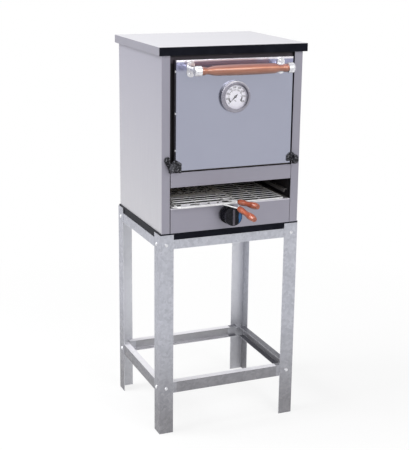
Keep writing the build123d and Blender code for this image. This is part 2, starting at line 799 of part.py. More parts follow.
def drill_door(start_y, end_y, radius):
    """Drills the thermometer's hole through what is being built."""
    bar((gauge_x, start_y, gauge_height), (gauge_x, end_y, gauge_height), radius, mode=Mode.SUBTRACT)


def drill_rivets():
    """Drills the rivets' holes through the door's sides."""
    for side in (-1, 1):
        for height in rivet_heights:
            bar((side * (door_half + 1), rivet_y, height), (side * (door_half - 6), rivet_y, height),
                rivet_radius + 0.1, mode=Mode.SUBTRACT)


def drill_feet(end_y, radius):
    """Drills the handle's screw holes through what is being built, from in front of the door."""
    for foot_x in foot_places:
        for rise in (-foot_screw_spread, foot_screw_spread):
            height = foot_middle + rise
            bar((foot_x, door_front - foot_thickness - 1, height), (foot_x, end_y, height), radius,
                mode=Mode.SUBTRACT)


with BuildPart() as door_skin:
    block((-door_half, door_half), (door_front, skin_back_edge), door_z)
    face_edges = door_skin.faces().sort_by(Axis.Y)[0].edges()
    fillet(face_edges, 1.1)
    inner_half = door_half - door_sheet
    block((-inner_half, inner_half), (door_front + door_sheet, skin_back_edge),
          (door_bottom + door_sheet, door_top - door_sheet), mode=Mode.SUBTRACT)
    drill_door(door_front - 1, door_front + 3, probe_hole)
    drill_feet(door_front + 3, foot_screw_radius + bolt_clearance)
    drill_rivets()
keep(door_skin, "door_skin")

# Door pan: the door's back sheet, whose deep flanges are riveted inside the skin's shorter folds
pan_gap = 0.2
with BuildPart() as door_inner_pan:
    outer_half = door_half - door_sheet - pan_gap
    outer_z = (door_bottom + door_sheet + pan_gap, door_top - door_sheet - pan_gap)
    block((-outer_half, outer_half), (door_back - door_pan_flange, door_back), outer_z)
    block((-(outer_half - door_sheet), outer_half - door_sheet),
          (door_back - door_pan_flange, door_back - door_sheet),
          (outer_z[0] + door_sheet, outer_z[1] - door_sheet), mode=Mode.SUBTRACT)
    drill_door(door_back - 3, door_back + 1, probe_hole)
    drill_rivets()
keep(door_inner_pan, "door_inner_pan")

# Door insulation: board between the skin and the pan
with BuildPart() as door_insulation:
    board_half = door_half - 10
    block((-board_half, board_half), (door_front + door_sheet + 0.3, door_back - door_sheet - 0.3),
          (door_bottom + 9, door_top - 9))
    drill_door(door_front - 1, door_back + 1, probe_hole)
    drill_feet(door_front + foot_screw_length, foot_screw_radius + 1)
keep(door_insulation, "door_insulation")

# Door rivets: three on each side fold
with BuildPart() as door_rivets:
    for side in (-1, 1):
        for height in rivet_heights:
            with BuildSketch(Plane(origin=(side * door_half, rivet_y, height), z_dir=(side, 0, 0))):
                Circle(rivet_head_radius)
            extrude(amount=rivet_head, taper=30)
            bar((side * door_half, rivet_y, height), (side * (door_half - 5), rivet_y, height),
                rivet_radius)
keep(door_rivets, "door_rivets")

# Handle brackets: one casting a side, a cup round the grip's end on a round arm from a foot plate
handle_y = door_front - handle_standoff
cups = ((grip_left - cup_length, grip_left), (grip_right, grip_right + cup_length))
rod_ends = (grip_left - rod_socket, grip_right + rod_socket)
with BuildPart() as handle_brackets:
    for cup in cups:
        bar((cup[0], handle_y, handle_height), (cup[1], handle_y, handle_height), cup_radius)
    rims = handle_brackets.edges().filter_by(GeomType.CIRCLE).sort_by(Axis.X)
    fillet([rims[0], rims[-1]], cup_rounding)
    for foot_x, cup in zip(foot_places, cups):
        with BuildSketch(Plane.XZ.offset(-door_front)):
            with Locations((foot_x, foot_middle)):
                RectangleRounded(foot_width, foot_height, foot_width / 2 - 1)
        extrude(amount=foot_thickness)
        bar((foot_x, door_front - foot_thickness / 2, foot_middle),
            (sum(cup) / 2, handle_y, handle_height), arm_radius)
    bar((rod_ends[0] - 0.2, handle_y, handle_height), (rod_ends[1] + 0.2, handle_y, handle_height),
        rod_radius + rod_clearance, mode=Mode.SUBTRACT)
    drill_feet(door_front + 1, foot_screw_radius + bolt_clearance)
keep(handle_brackets, "handle_brackets")

# Bracket screws: two domed screws through each foot plate and the door's skin
with BuildPart() as bracket_screws:
    foot_face = door_front - foot_thickness
    for foot_x in foot_places:
        for rise in (-foot_screw_spread, foot_screw_spread):
            height = foot_middle + rise
            with BuildSketch(Plane(origin=(foot_x, foot_face, height), z_dir=(0, -1, 0))):
                Circle(foot_screw_head_radius)
            extrude(amount=foot_screw_head, taper=28)
            bar((foot_x, foot_face, height), (foot_x, foot_face + foot_screw_length, height),
                foot_screw_radius)
keep(bracket_screws, "bracket_screws")

# Handle grip: turned wood with a bead and a neck at each end and a swell in the middle
with BuildPart() as handle_grip:
    middle = (grip_left + grip_right) / 2
    spindle = grip_right - grip_left - 2 * bead_length
    with BuildSketch(Plane.XY.offset(handle_height)):
        with BuildLine():
            outline = []
            for end, inward in ((grip_left, 1), (grip_right, -1)):
                ends = [
                    (0, bead_radius - 2), (bead_length / 2, bead_radius),
                    (bead_length, neck_radius + 1.5), (neck_place, neck_radius),
                ]
                ends += [(bead_length + part * spindle, radius) for part, radius in spindle_radii]
                outline.append([(end + inward * along, handle_y + radius) for along, radius in ends])
            left, right = outline
            ThreePointArc(*left[:3])
            Line(left[2], left[3])
            Spline(*left[3:], (middle, handle_y + swell_radius), *reversed(right[3:]),
                   tangents=((1, 0), (1, 0)))
            Line(right[3], right[2])
            ThreePointArc(*reversed(right[:3]))
            Line(right[0], (grip_right, handle_y))
            Line((grip_right, handle_y), (grip_left, handle_y))
            Line((grip_left, handle_y), left[0])
        make_face()
    revolve(axis=Axis((grip_left, handle_y, handle_height), (1, 0, 0)))
    bar((grip_left - 1, handle_y, handle_height), (grip_right + 1, handle_y, handle_height),
        rod_radius + rod_clearance, mode=Mode.SUBTRACT)
keep(handle_grip, "handle_grip")

# Handle rod: plain steel rod through the grip, with its ends in the two cups
with BuildPart() as handle_rod:
    bar((rod_ends[0], handle_y, handle_height), (rod_ends[1], handle_y, handle_height), rod_radius)
keep(handle_rod, "handle_rod")

# Thermometer: ring-shaped case on the door's face, with a probe through the door
cavity_back = door_front - 5.5
cavity_front = door_front - bezel_height + 1.8
dial_face = cavity_back - 0.2 - dial_thickness
glass_back = cavity_front + 0.2 + glass_thickness
gauge_plane = Plane(origin=(gauge_x, door_front, gauge_height), x_dir=(1, 0, 0), z_dir=(0, -1, 0))
with BuildPart() as thermometer_case:
    with BuildSketch(gauge_plane):
        Circle(bezel_radius)
    extrude(amount=bezel_height)
    rim = thermometer_case.edges().filter_by(GeomType.CIRCLE).sort_by(Axis.Y)[0]
    fillet(rim, 5)
    bar((gauge_x, cavity_back, gauge_height), (gauge_x, cavity_front, gauge_height),
        dial_radius + 0.3, mode=Mode.SUBTRACT)
    bar((gauge_x, cavity_front + 1, gauge_height), (gauge_x, door_front - bezel_height - 1, gauge_height),
        window_radius, mode=Mode.SUBTRACT)
    bar((gauge_x, door_front, gauge_height), (gauge_x, door_back + 6, gauge_height), probe_radius + 2)
    bar((gauge_x, door_front, gauge_height), (gauge_x, door_back + probe_reach, gauge_height), probe_radius)
keep(thermometer_case, "thermometer_case")

with BuildPart() as thermometer_glass:
    bar((gauge_x, glass_back, gauge_height), (gauge_x, glass_back - glass_thickness, gauge_height),
        dial_radius)
keep(thermometer_glass, "thermometer_glass")

# Dial: plain disc with a fixed centre post that carries the needle
post_radius = 1.2
with BuildPart() as thermometer_dial:
    bar((gauge_x, cavity_back - 0.2, gauge_height), (gauge_x, dial_face, gauge_height), dial_radius)
    bar((gauge_x, dial_face, gauge_height), (gauge_x, dial_face - 2.6, gauge_height), post_radius)
keep(thermometer_dial, "thermometer_dial")

# Needle: tapering pointer with a broad tail, round the dial's post
with BuildPart() as thermometer_needle:
    rest = math.radians(needle_rest_angle)
    pointing = (math.cos(rest), 0, math.sin(rest))
    hub = (gauge_x, dial_face - 0.8, gauge_height)
    with BuildSketch(Plane(origin=hub, x_dir=pointing, z_dir=(0, -1, 0))):
        with BuildLine():
            Polyline((needle_length, 0), (4, 1.8), (-2, 2.6), (-needle_tail, 0), (-2, -2.6), (4, -1.8),
                     close=True)
        make_face()
        Circle(4)
        Circle(post_radius + running_gap, mode=Mode.SUBTRACT)
    extrude(amount=0.8)
keep(thermometer_needle, "thermometer_needle")

# Grill shelf: bent frame of thick wire with thinner wires across and three bearers below them
shelf_axis = shelf_seat + shelf_lift + shelf_wire
shelf_left = shelf_left_gap + shelf_wire - wall_inner
shelf_right = wall_inner - shelf_right_gap - shelf_wire
shelf_front = front_y - shelf_front_overhang
shelf_back = slot_back - shelf_back_gap
with BuildPart() as grill_shelf:
    bent_bar(
        [(shelf_left, shelf_back, shelf_axis), (shelf_left, shelf_front, shelf_axis),
         (shelf_right, shelf_front, shelf_axis), (shelf_right, shelf_back, shelf_axis)],
        shelf_wire, shelf_corner)
    end_y = shelf_back - shelf_wire
    bar((shelf_left, end_y, shelf_axis), (shelf_right, end_y, shelf_axis), shelf_end_bar)
    wire_count = int((shelf_back - shelf_front - 20) / shelf_pitch)
    with BuildSketch(Plane.YZ.offset(shelf_left)):
        for index in range(1, wire_count + 1):
            with Locations((shelf_front + index * shelf_pitch, shelf_axis + shelf_wire - shelf_bar)):
                Circle(shelf_bar)
    extrude(amount=shelf_right - shelf_left)
    bearer_z = shelf_axis - shelf_wire + shelf_bearer
    for x in (-shelf_bearer_x, 0, shelf_bearer_x):
        bar((x, shelf_front, bearer_z), (x, end_y, bearer_z), shelf_bearer)
keep(grill_shelf, "grill_shelf")

# Toaster: two grids hinged at the rear that close on bread, each with a forked wire handle
lower_axis = shelf_axis + shelf_wire + toaster_gap + toaster_wire
upper_axis = lower_axis + toaster_wire + toaster_gap + toaster_upper_wire
toaster_y = (front_y - toaster_front_overhang, slot_back - toaster_back_gap)
toaster_left = shelf_left + toaster_inset
toaster_right = toaster_left + toaster_width
toaster_hinge_y = toaster_y[1]
ear_places = (toaster_left + 22, toaster_right - 22)
ear_width = 3.0
strip_left = toaster_left + strip_inset
strip_right = strip_left + strip_length
lower_grip_start = (toaster_right - 36, toaster_y[0] - 73.5, lower_axis - 0.5)
lower_grip_end = (toaster_right - 24, toaster_y[0] - 178.5, lower_axis - 15.5)
upper_grip_start = (toaster_right - 19, toaster_y[0] - 34, upper_axis + 7)
upper_grip_end = (toaster_right + 12.5, toaster_y[0] - 126.5, upper_axis + 8)
wire_socket = 12.0


def between(start, end, distance):
    """The point that lies the given distance along the line from start to end."""
    run = Vector(*end) - Vector(*start)
    point = Vector(*start) + run * (distance / run.length)
    return (point.X, point.Y, point.Z)


with BuildPart() as toaster_lower_grid:
    bent_bar(
        [(toaster_left, toaster_y[1], lower_axis), (toaster_left, toaster_y[0], lower_axis),
         (toaster_right, toaster_y[0], lower_axis), (toaster_right, toaster_y[1], lower_axis)],
        toaster_wire, toaster_corner)
    bar((toaster_left, toaster_y[1] - toaster_wire, lower_axis),
        (toaster_right, toaster_y[1] - toaster_wire, lower_axis), shelf_end_bar)
    count = int((toaster_y[1] - toaster_y[0] - lower_setback) / shelf_pitch)
    with BuildSketch(Plane.YZ.offset(toaster_left)):
        for index in range(count):
            with Locations((toaster_y[0] + lower_setback + index * shelf_pitch, lower_axis)):
                Circle(toaster_bar)
    extrude(amount=toaster_right - toaster_left)
    strip_plane = Plane(
        origin=(strip_left, toaster_y[0] + strip_thickness / 2, lower_axis),
        x_dir=(1, 0, 0), z_dir=(0, -1, 0))
    with BuildSketch(strip_plane):
        with Locations((strip_length / 2, (strip_height - strip_foot) / 2)):
            Rectangle(strip_length, strip_height + strip_foot)
        with Locations((strip_slot_place, strip_hole_height)):
            SlotOverall(*strip_slot, mode=Mode.SUBTRACT)
        with Locations(*((place, strip_hole_height) for place in strip_hole_places)):
            SlotOverall(*strip_hole, mode=Mode.SUBTRACT)
    extrude(amount=strip_thickness)
    for x in ear_places:
        block((x, x + ear_width), (toaster_hinge_y - 7, toaster_hinge_y + 5),
              (lower_axis - 1, upper_axis + 5))
        bar((x - 1, toaster_hinge_y, upper_axis), (x + ear_width + 1, toaster_hinge_y, upper_axis),
            toaster_hinge_wire + hinge_running_gap, mode=Mode.SUBTRACT)
    socket = between(lower_grip_start, lower_grip_end, wire_socket)
    for x in (strip_right + 2, toaster_right - 2):
        bar((x, toaster_y[0], lower_axis), lower_grip_start, handle_wire)
    bar(lower_grip_start, socket, handle_wire)
keep(toaster_lower_grid, "toaster_lower_grid")

with BuildPart() as toaster_upper_grid:
    inset = toaster_wire + 2
    upper_left = toaster_left + inset
    upper_right = toaster_right - inset
    upper_front = toaster_y[0] + upper_setback
    bent_bar(
        [(upper_left, toaster_hinge_y, upper_axis), (upper_left, upper_front, upper_axis),
         (upper_right, upper_front, upper_axis), (upper_right, toaster_hinge_y, upper_axis)],
        toaster_upper_wire, toaster_corner)
    bar((upper_left, toaster_hinge_y, upper_axis), (upper_right, toaster_hinge_y, upper_axis),
        toaster_hinge_wire)
    for index in range(1, 3):
        y = upper_front + index * shelf_pitch
        bar((upper_left, y, upper_axis), (upper_right, y, upper_axis), toaster_bar)
    mesh_y = (toaster_y[0] + mesh_front, toaster_hinge_y - 12)
    mesh_middle = ((upper_left + upper_right) / 2, sum(mesh_y) / 2)
    with BuildSketch(Plane.XY.offset(upper_axis)):
        with Locations(mesh_middle):
            Rectangle(upper_right - upper_left, mesh_y[1] - mesh_y[0])
        half_x = (mesh_pitch_x - mesh_strand * 2.2) / 2
        half_y = (mesh_pitch_y - mesh_strand * 1.4) / 2
        columns = int((upper_right - upper_left - 8) / mesh_pitch_x)
        rows_of_gaps = int((mesh_y[1] - mesh_y[0] - 8) / mesh_pitch_y)
        with Locations(mesh_middle):
            for grid in ((columns, rows_of_gaps), (columns - 1, rows_of_gaps - 1)):
                with GridLocations(mesh_pitch_x, mesh_pitch_y, *grid):
                    Polygon((half_x, 0), (0, half_y), (-half_x, 0), (0, -half_y), mode=Mode.SUBTRACT)
    extrude(amount=mesh_thickness)
    socket = between(upper_grip_start, upper_grip_end, wire_socket)
    for x in (upper_grip_start[0] - 32, upper_grip_start[0] + 8):
        bar((x, upper_front, upper_axis), upper_grip_start, handle_wire)
    bar(upper_grip_start, socket, handle_wire)
keep(toaster_upper_grid, "toaster_upper_grid")


# Toaster grips: small turned wooden handles with two bulbs, each on its rods' end
def wooden_grip(start, end):
    run = Vector(*end) - Vector(*start)
    first = between(start, end, handle_wire)
    length = run.length - handle_wire
    across = run.cross(Vector(1, 0, 0))
    with BuildPart() as grip:
        with BuildSketch(Plane(origin=first, x_dir=run, z_dir=across)):
            with BuildLine():
                profile = Spline(
                    (0, wood_neck_radius),
                    (0.18 * length, wood_bead_radius),
                    (0.42 * length, wood_neck_radius),
                    (0.75 * length, wood_bulb_radius),
                    (length, wood_end_radius))
                Polyline(profile @ 1, (length, 0), (0, 0), profile @ 0)
            make_face()
        revolve(axis=Axis(first, run))
        bar(first, between(start, end, wire_socket + 0.3), handle_wire + 0.1, mode=Mode.SUBTRACT)
    return grip


keep(wooden_grip(lower_grip_start, lower_grip_end), "toaster_lower_grip")
keep(wooden_grip(upper_grip_start, upper_grip_end), "toaster_upper_grip")
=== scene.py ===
import math

import bmesh
import bpy
from mathutils import Matrix, Vector


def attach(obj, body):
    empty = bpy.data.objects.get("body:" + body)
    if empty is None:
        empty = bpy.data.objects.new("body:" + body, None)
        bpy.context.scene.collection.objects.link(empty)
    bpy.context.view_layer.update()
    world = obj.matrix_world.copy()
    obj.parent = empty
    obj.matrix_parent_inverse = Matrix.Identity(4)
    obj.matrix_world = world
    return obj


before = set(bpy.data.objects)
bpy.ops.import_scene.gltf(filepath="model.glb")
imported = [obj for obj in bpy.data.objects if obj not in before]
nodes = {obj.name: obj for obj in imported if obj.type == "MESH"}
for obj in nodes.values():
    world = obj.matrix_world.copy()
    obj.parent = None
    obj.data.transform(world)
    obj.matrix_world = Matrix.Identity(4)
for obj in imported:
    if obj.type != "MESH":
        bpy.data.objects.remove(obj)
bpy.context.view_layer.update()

# The view: the oven stands on a white floor, seen from the front, a little from its left side and from
# just above its top. The softboxes hang high, so the side and the cover are lighter than the front,
# helped by painted light on them, and the gaps round the door and the slot stay dark, helped by
# painted shade in them.
camera_place = (-1.5030, -3.4837, 1.7984)
camera_lens = 84.18
camera_reach = 60
camera_turned = -0.396
camera_lowered = 0.27
camera_tilted = 0.012

camera_data = bpy.data.cameras.new("studio_camera")
camera_data.lens = camera_lens
camera_data.clip_end = camera_reach
camera = bpy.data.objects.new("studio_camera", camera_data)
camera_turn = (Matrix.Rotation(camera_turned, 4, "Z") @ Matrix.Rotation(math.pi / 2 - camera_lowered, 4, "X")
               @ Matrix.Rotation(camera_tilted, 4, "Z"))
camera.matrix_world = Matrix.Translation(camera_place) @ camera_turn
bpy.context.scene.collection.objects.link(camera)
bpy.context.scene.camera = camera
bpy.context.scene.view_settings.view_transform = "Standard"


def softbox(name, place, aim, width, height, power):
    """A rectangular lamp at a place, turned towards the point it lights."""
    data = bpy.data.lights.new(name, "AREA")
    data.shape = "RECTANGLE"
    data.size = width
    data.size_y = height
    data.energy = power
    lamp = bpy.data.objects.new(name, data)
    lamp.location = place
    lamp.rotation_euler = (Vector(aim) - Vector(place)).to_track_quat("-Z", "Y").to_euler()
    bpy.context.scene.collection.objects.link(lamp)


softbox("left_softbox", place=(-2.9, 0.5, 3.4), aim=(0, 0.1, 0.9), width=2.2, height=2.2, power=125)
softbox("front_softbox", place=(0.8, -4.0, 3.0), aim=(0, 0, 0.9), width=2.2, height=1.6, power=68)
softbox("top_softbox", place=(0.0, 0.2, 4.4), aim=(0, 0.1, 1.4), width=2.6, height=2.6, power=34)


def worked(tree, operation, first, second=None):
    """The result of a sum on one or two values."""
    node = tree.nodes.new("ShaderNodeMath")
    node.operation = operation
    tree.links.new(first, node.inputs[0])
    if second is not None:
        tree.links.new(second, node.inputs[1])
    return node.outputs[0]


def seen_white(tree, most=None):
    """How white a ray that shows the background makes it: the camera's, a reflected or a clear one."""
    path = tree.nodes.new("ShaderNodeLightPath")
    value = path.outputs["Is Camera Ray"]
    for other in ("Is Glossy Ray", "Is Transmission Ray"):
        value = worked(tree, "MAXIMUM", value, path.outputs[other])
    return value if most is None else worked(tree, "MULTIPLY", value, most)


def white_light(tree, kind, strength):
    """A plain white light of a strength, from a background or a glowing surface."""
    light = tree.nodes.new(kind)
    light.inputs["Color"].default_value = (1, 1, 1, 1)
    light.inputs["Strength"].default_value = strength
    return light.outputs[0]


def either_way(tree, part, first, second):
    """Two shaders blended: this part of the second and the rest of the first."""
    node = tree.nodes.new("ShaderNodeMixShader")
    tree.links.new(part, node.inputs["Fac"])
    tree.links.new(first, node.inputs[1])
    tree.links.new(second, node.inputs[2])
    return node.outputs[0]


room_light = 0.40
room = bpy.data.worlds.new("studio_room")
room.use_nodes = True
tree = room.node_tree
tree.nodes.clear()
background = either_way(tree, seen_white(tree), white_light(tree, "ShaderNodeBackground", room_light),
                        white_light(tree, "ShaderNodeBackground", 1.0))
tree.links.new(background, tree.nodes.new("ShaderNodeOutputWorld").inputs["Surface"])
bpy.context.scene.world = room


def placed(name, form):
    """Makes a finished form a piece of that name, standing where it was modelled."""
    mesh = bpy.data.meshes.new(name)
    form.to_mesh(mesh)
    form.free()
    piece = bpy.data.objects.new(name, mesh)
    bpy.context.scene.collection.objects.link(piece)
    return piece


def finish_named(name):
    """A new material, its tree, its shader, and the piece's own coordinates."""
    material = bpy.data.materials.new(name)
    material.use_nodes = True
    tree = material.node_tree
    place = tree.nodes.new("ShaderNodeTexCoord")
    return material, tree, tree.nodes["Principled BSDF"], place.outputs["Object"]


def ranged(tree, value, low, high, start=0.0, end=1.0):
    """Maps a value from start..end to low..high."""
    node = tree.nodes.new("ShaderNodeMapRange")
    node.inputs["From Min"].default_value = start
    node.inputs["From Max"].default_value = end
    node.inputs["To Min"].default_value = low
    node.inputs["To Max"].default_value = high
    tree.links.new(value, node.inputs["Value"])
    return node.outputs["Result"]


def measured(tree, operation, coordinates, other=None):
    """The result of a sum on coordinates, by themselves or with one fixed set of three."""
    node = tree.nodes.new("ShaderNodeVectorMath")
    node.operation = operation
    tree.links.new(coordinates, node.inputs[0])
    if other is not None:
        node.inputs[1].default_value = other
    return node.outputs["Value" if operation in ("LENGTH", "DOT_PRODUCT") else "Vector"]


floor_half_width = 14.0
floor_colour = (0.93, 0.93, 0.93, 1)
floor_roughness = 0.9
whiteness_under_oven = 0.80
whitening_ring = (0.5, 2.2)
form = bmesh.new()
bmesh.ops.create_grid(form, x_segments=1, y_segments=1, size=floor_half_width)
floor = placed("studio_floor", form)
floor_paint, tree, surface, place = finish_named("studio_floor_white")
surface.inputs["Base Color"].default_value = floor_colour
surface.inputs["Roughness"].default_value = floor_roughness
whiteness = ranged(tree, measured(tree, "LENGTH", place), whiteness_under_oven, 1.0, *whitening_ring)
ground = either_way(tree, seen_white(tree, whiteness), surface.outputs[0],
                    white_light(tree, "ShaderNodeEmission", 1.0))
tree.links.new(ground, tree.nodes["Material Output"].inputs["Surface"])
floor.data.materials.append(floor_paint)


# Stand: four folded angle legs and eight channel rails, hot-dip galvanised. The zinc has frozen in
# flat crystals a few millimetres wide, each with its own tone. It is darker towards the floor, most of
# all on the low rails' faces, while painted light keeps the low rails' tops and the fronts of the rear
# legs pale, and painted shade darkens the left-facing faces on the left and the right low rail's top.
def dress(material, *names):
    """Gives CAD pieces their finish."""
    for name in names:
        nodes[name].data.materials.clear()
        nodes[name].data.materials.append(material)


def stretched(tree, coordinates, scale):
    """Coordinates scaled along each axis, for grain that runs one way."""
    mapping = tree.nodes.new("ShaderNodeMapping")
    mapping.inputs["Scale"].default_value = scale
    tree.links.new(coordinates, mapping.inputs["Vector"])
    return mapping.outputs["Vector"]


def noise(tree, coordinates, scale, detail=3.0, roughness=0.5):
    """Noise between 0 and 1 at a scale in features per metre."""
    node = tree.nodes.new("ShaderNodeTexNoise")
    node.inputs["Scale"].default_value = scale
    node.inputs["Detail"].default_value = detail
    node.inputs["Roughness"].default_value = roughness
    tree.links.new(coordinates, node.inputs["Vector"])
    return node.outputs["Fac"]


def shared(tree, first, second, part):
    """Two values blended: this part of the first and the rest of the second."""
    node = tree.nodes.new("ShaderNodeMix")
    node.inputs[0].default_value = part
    tree.links.new(second, node.inputs[2])
    tree.links.new(first, node.inputs[3])
    return node.outputs[0]


def graded(tree, value, stops):
    """Colours a value through a ramp of stops, each a place and a colour."""
    ramp = tree.nodes.new("ShaderNodeValToRGB")
    while len(ramp.color_ramp.elements) < len(stops):
        ramp.color_ramp.elements.new(0.5)
    for element, (position, colour) in zip(ramp.color_ramp.elements, stops):
        element.position = position
        element.color = (*colour, 1)
    tree.links.new(value, ramp.inputs["Fac"])
    return ramp.outputs["Color"]


def clouded(tree, value, dark, light):
    """Colours a noise between a dark and a light tone."""
    return graded(tree, value, [(0.3, dark), (0.7, light)])


def above(tree, value, start, end):
    """0 below the start, 1 beyond the end."""
    return ranged(tree, value, 0.0, 1.0, start, end)


def below(tree, value, start, end):
    """1 below the start, 0 beyond the end."""
    return ranged(tree, value, 1.0, 0.0, start, end)


def both(tree, first, second):
    """How far two conditions hold together."""
    return worked(tree, "MULTIPLY", first, second)


def overlaid(tree, colour, factor, tone, way="MIX"):
    """A colour with a tone, or a second colour, laid over it where a factor says."""
    node = tree.nodes.new("ShaderNodeMix")
    node.data_type = "RGBA"
    node.blend_type = way
    tree.links.new(factor, node.inputs[0])
    tree.links.new(colour, node.inputs[6])
    if isinstance(tone, tuple):
        node.inputs[7].default_value = (*tone, 1)
    else:
        tree.links.new(tone, node.inputs[7])
    return node.outputs[2]


def along(tree, coordinates, axis):
    """One coordinate of a vector."""
    parts = tree.nodes.new("ShaderNodeSeparateXYZ")
    tree.links.new(coordinates, parts.inputs[0])
    return parts.outputs[axis]


def faced(tree, axis):
    """How squarely the surface faces along an axis: -1 away from it, 1 towards it."""
    return along(tree, tree.nodes.new("ShaderNodeTexCoord").outputs["Normal"], axis)


def edge_wear_and_sheen(tree, radius):
    """1 on a piece's edges and corners, where handling has rubbed them or a painted highlight goes, and 0 on
    its flats.

    It compares the true normal with the one that corners rounded to this radius would have.
    """
    rounded = tree.nodes.new("ShaderNodeBevel")
    rounded.samples = 6
    rounded.inputs["Radius"].default_value = radius
    facing = tree.nodes.new("ShaderNodeNewGeometry")
    match = tree.nodes.new("ShaderNodeVectorMath")
    match.operation = "DOT_PRODUCT"
    tree.links.new(rounded.outputs["Normal"], match.inputs[0])
    tree.links.new(facing.outputs["Normal"], match.inputs[1])
    return above(tree, match.outputs["Value"], 0.99, 0.86)


def finished(tree, shader, colour, roughness, height, depth, strength):
    """Puts a colour and a roughness on a finish, and raises it by a height map, its depth in metres."""
    tree.links.new(colour, shader.inputs["Base Color"])
    tree.links.new(roughness, shader.inputs["Roughness"])
    bump = tree.nodes.new("ShaderNodeBump")
    bump.inputs["Distance"].default_value = depth
    bump.inputs["Strength"].default_value = strength
    tree.links.new(height, bump.inputs["Height"])
    tree.links.new(bump.outputs["Normal"], shader.inputs["Normal"])


stand_middle = (0.0, 0.1025, 0.0)
legs_across = (0.2045, 0.2055)
legs_deep = (0.1765, 0.1775)
low_rails_end = (0.34, 0.36)
floorward_heights = (0.06, 0.42)
rear_light_heights = (0.16, 0.45)
left_half = (-0.1, 0.0)
rear_half = (0.15, 0.30)
squarely = (-0.9, -0.5)
crystals_per_metre = 110
crystal_wander = (0.012, 0.012, 0.012)
wanders_per_metre = 60
zinc_crystals = [(0.25, (0.41, 0.42, 0.47)), (0.5, (0.48, 0.49, 0.545)), (0.75, (0.55, 0.56, 0.62))]
floorward_darkening = (0.55, 0.53, 0.51)
left_face_shade = (0.80, 0.80, 0.81)
rear_front_light = (0.84, 0.85, 0.90)
low_rail_darkening = (0.76, 0.75, 0.74)
painted_rail_top_light = (0.86, 0.85, 0.89)
shaded_rail_top = (0.18, 0.18, 0.205)
rubbed_zinc = (0.74, 0.75, 0.79)

galvanised, tree, shader, place = finish_named("hot_dip_zinc")
wander = tree.nodes.new("ShaderNodeTexNoise")
wander.inputs["Scale"].default_value = wanders_per_metre
tree.links.new(place, wander.inputs["Vector"])
warped = tree.nodes.new("ShaderNodeVectorMath")
warped.operation = "MULTIPLY_ADD"
warped.inputs[1].default_value = crystal_wander
tree.links.new(wander.outputs["Color"], warped.inputs[0])
tree.links.new(place, warped.inputs[2])
crystals = tree.nodes.new("ShaderNodeTexVoronoi")
crystals.inputs["Scale"].default_value = crystals_per_metre
tree.links.new(warped.outputs["Vector"], crystals.inputs["Vector"])
tone = tree.nodes.new("ShaderNodeSeparateColor")
tree.links.new(crystals.outputs["Color"], tone.inputs["Color"])
bloom = noise(tree, place, 14, 5, 0.6)
zinc = graded(tree, shared(tree, tone.outputs["Red"], bloom, 0.35), zinc_crystals)
height = along(tree, place, "Z")
zinc = overlaid(tree, zinc, below(tree, height, *floorward_heights), floorward_darkening, "MULTIPLY")
# Painted shade: the left-facing faces of the left legs and rails are darkened.
left_face_shade_mask = both(tree, below(tree, faced(tree, "X"), *squarely),
                 below(tree, along(tree, place, "X"), *left_half))
zinc = overlaid(tree, zinc, left_face_shade_mask, left_face_shade, "MULTIPLY")
# Painted light: the front faces of the rear legs and rails are paler, more so higher up.
rear_front_light_mask = both(tree, ranged(tree, faced(tree, "Y"), 0.9, 0.0, *squarely),
                 above(tree, along(tree, place, "Y"), *rear_half))
rear_front_light_mask = both(tree, rear_front_light_mask, ranged(tree, height, 0.5, 1.0, *rear_light_heights))
zinc = overlaid(tree, zinc, rear_front_light_mask, rear_front_light)
aside = measured(tree, "ABSOLUTE", measured(tree, "SUBTRACT", place, stand_middle))
between_legs = worked(tree, "MAXIMUM", below(tree, along(tree, aside, "X"), *legs_across),
                      below(tree, along(tree, aside, "Y"), *legs_deep))
low_down = below(tree, height, *low_rails_end)
zinc = overlaid(tree, zinc, both(tree, between_legs, low_down), low_rail_darkening, "MULTIPLY")
# Painted light on the low rails' upward faces, and painted shade on the right rail's top.
lit_low_tops = both(tree, above(tree, faced(tree, "Z"), 0.5, 0.9), low_down)
zinc = overlaid(tree, zinc, lit_low_tops, painted_rail_top_light)
right_tops = both(tree, lit_low_tops, above(tree, along(tree, place, "X"), *legs_across))
zinc = overlaid(tree, zinc, right_tops, shaded_rail_top)
zinc = overlaid(tree, zinc, edge_wear_and_sheen(tree, 0.0015), rubbed_zinc)
finished(tree, shader, zinc, ranged(tree, tone.outputs["Green"], 0.34, 0.55), noise(tree, place, 140, 4),
         depth=0.0002, strength=0.3)
shader.inputs["Metallic"].default_value = 0.45
dress(galvanised, "leg_front_left", "leg_front_right", "leg_rear_left", "leg_rear_right")
dress(galvanised, "top_rail_front", "top_rail_rear", "top_rail_left", "top_rail_right")
dress(galvanised, "lower_rail_front", "lower_rail_rear", "lower_rail_left", "lower_rail_right")

# Bolts, nuts, screws and rivets: small bright zinc-plated steel heads, a little scratched by tools.
# They hold the stand, the back panel and the door's side folds.
plated, tree, shader, place = finish_named("bright_zinc_plate")
plate_tone = clouded(tree, noise(tree, place, 420, 3), (0.62, 0.63, 0.66), (0.84, 0.84, 0.87))
plate_tone = overlaid(tree, plate_tone, edge_wear_and_sheen(tree, 0.0008), (0.92, 0.92, 0.94))
finished(tree, shader, plate_tone, ranged(tree, noise(tree, place, 900, 2), 0.22, 0.40),
         noise(tree, place, 1500, 2), depth=0.00004, strength=0.4)
shader.inputs["Metallic"].default_value = 0.6
dress(plated, "stand_bolts", "stand_nuts", "panel_screws", "door_rivets")

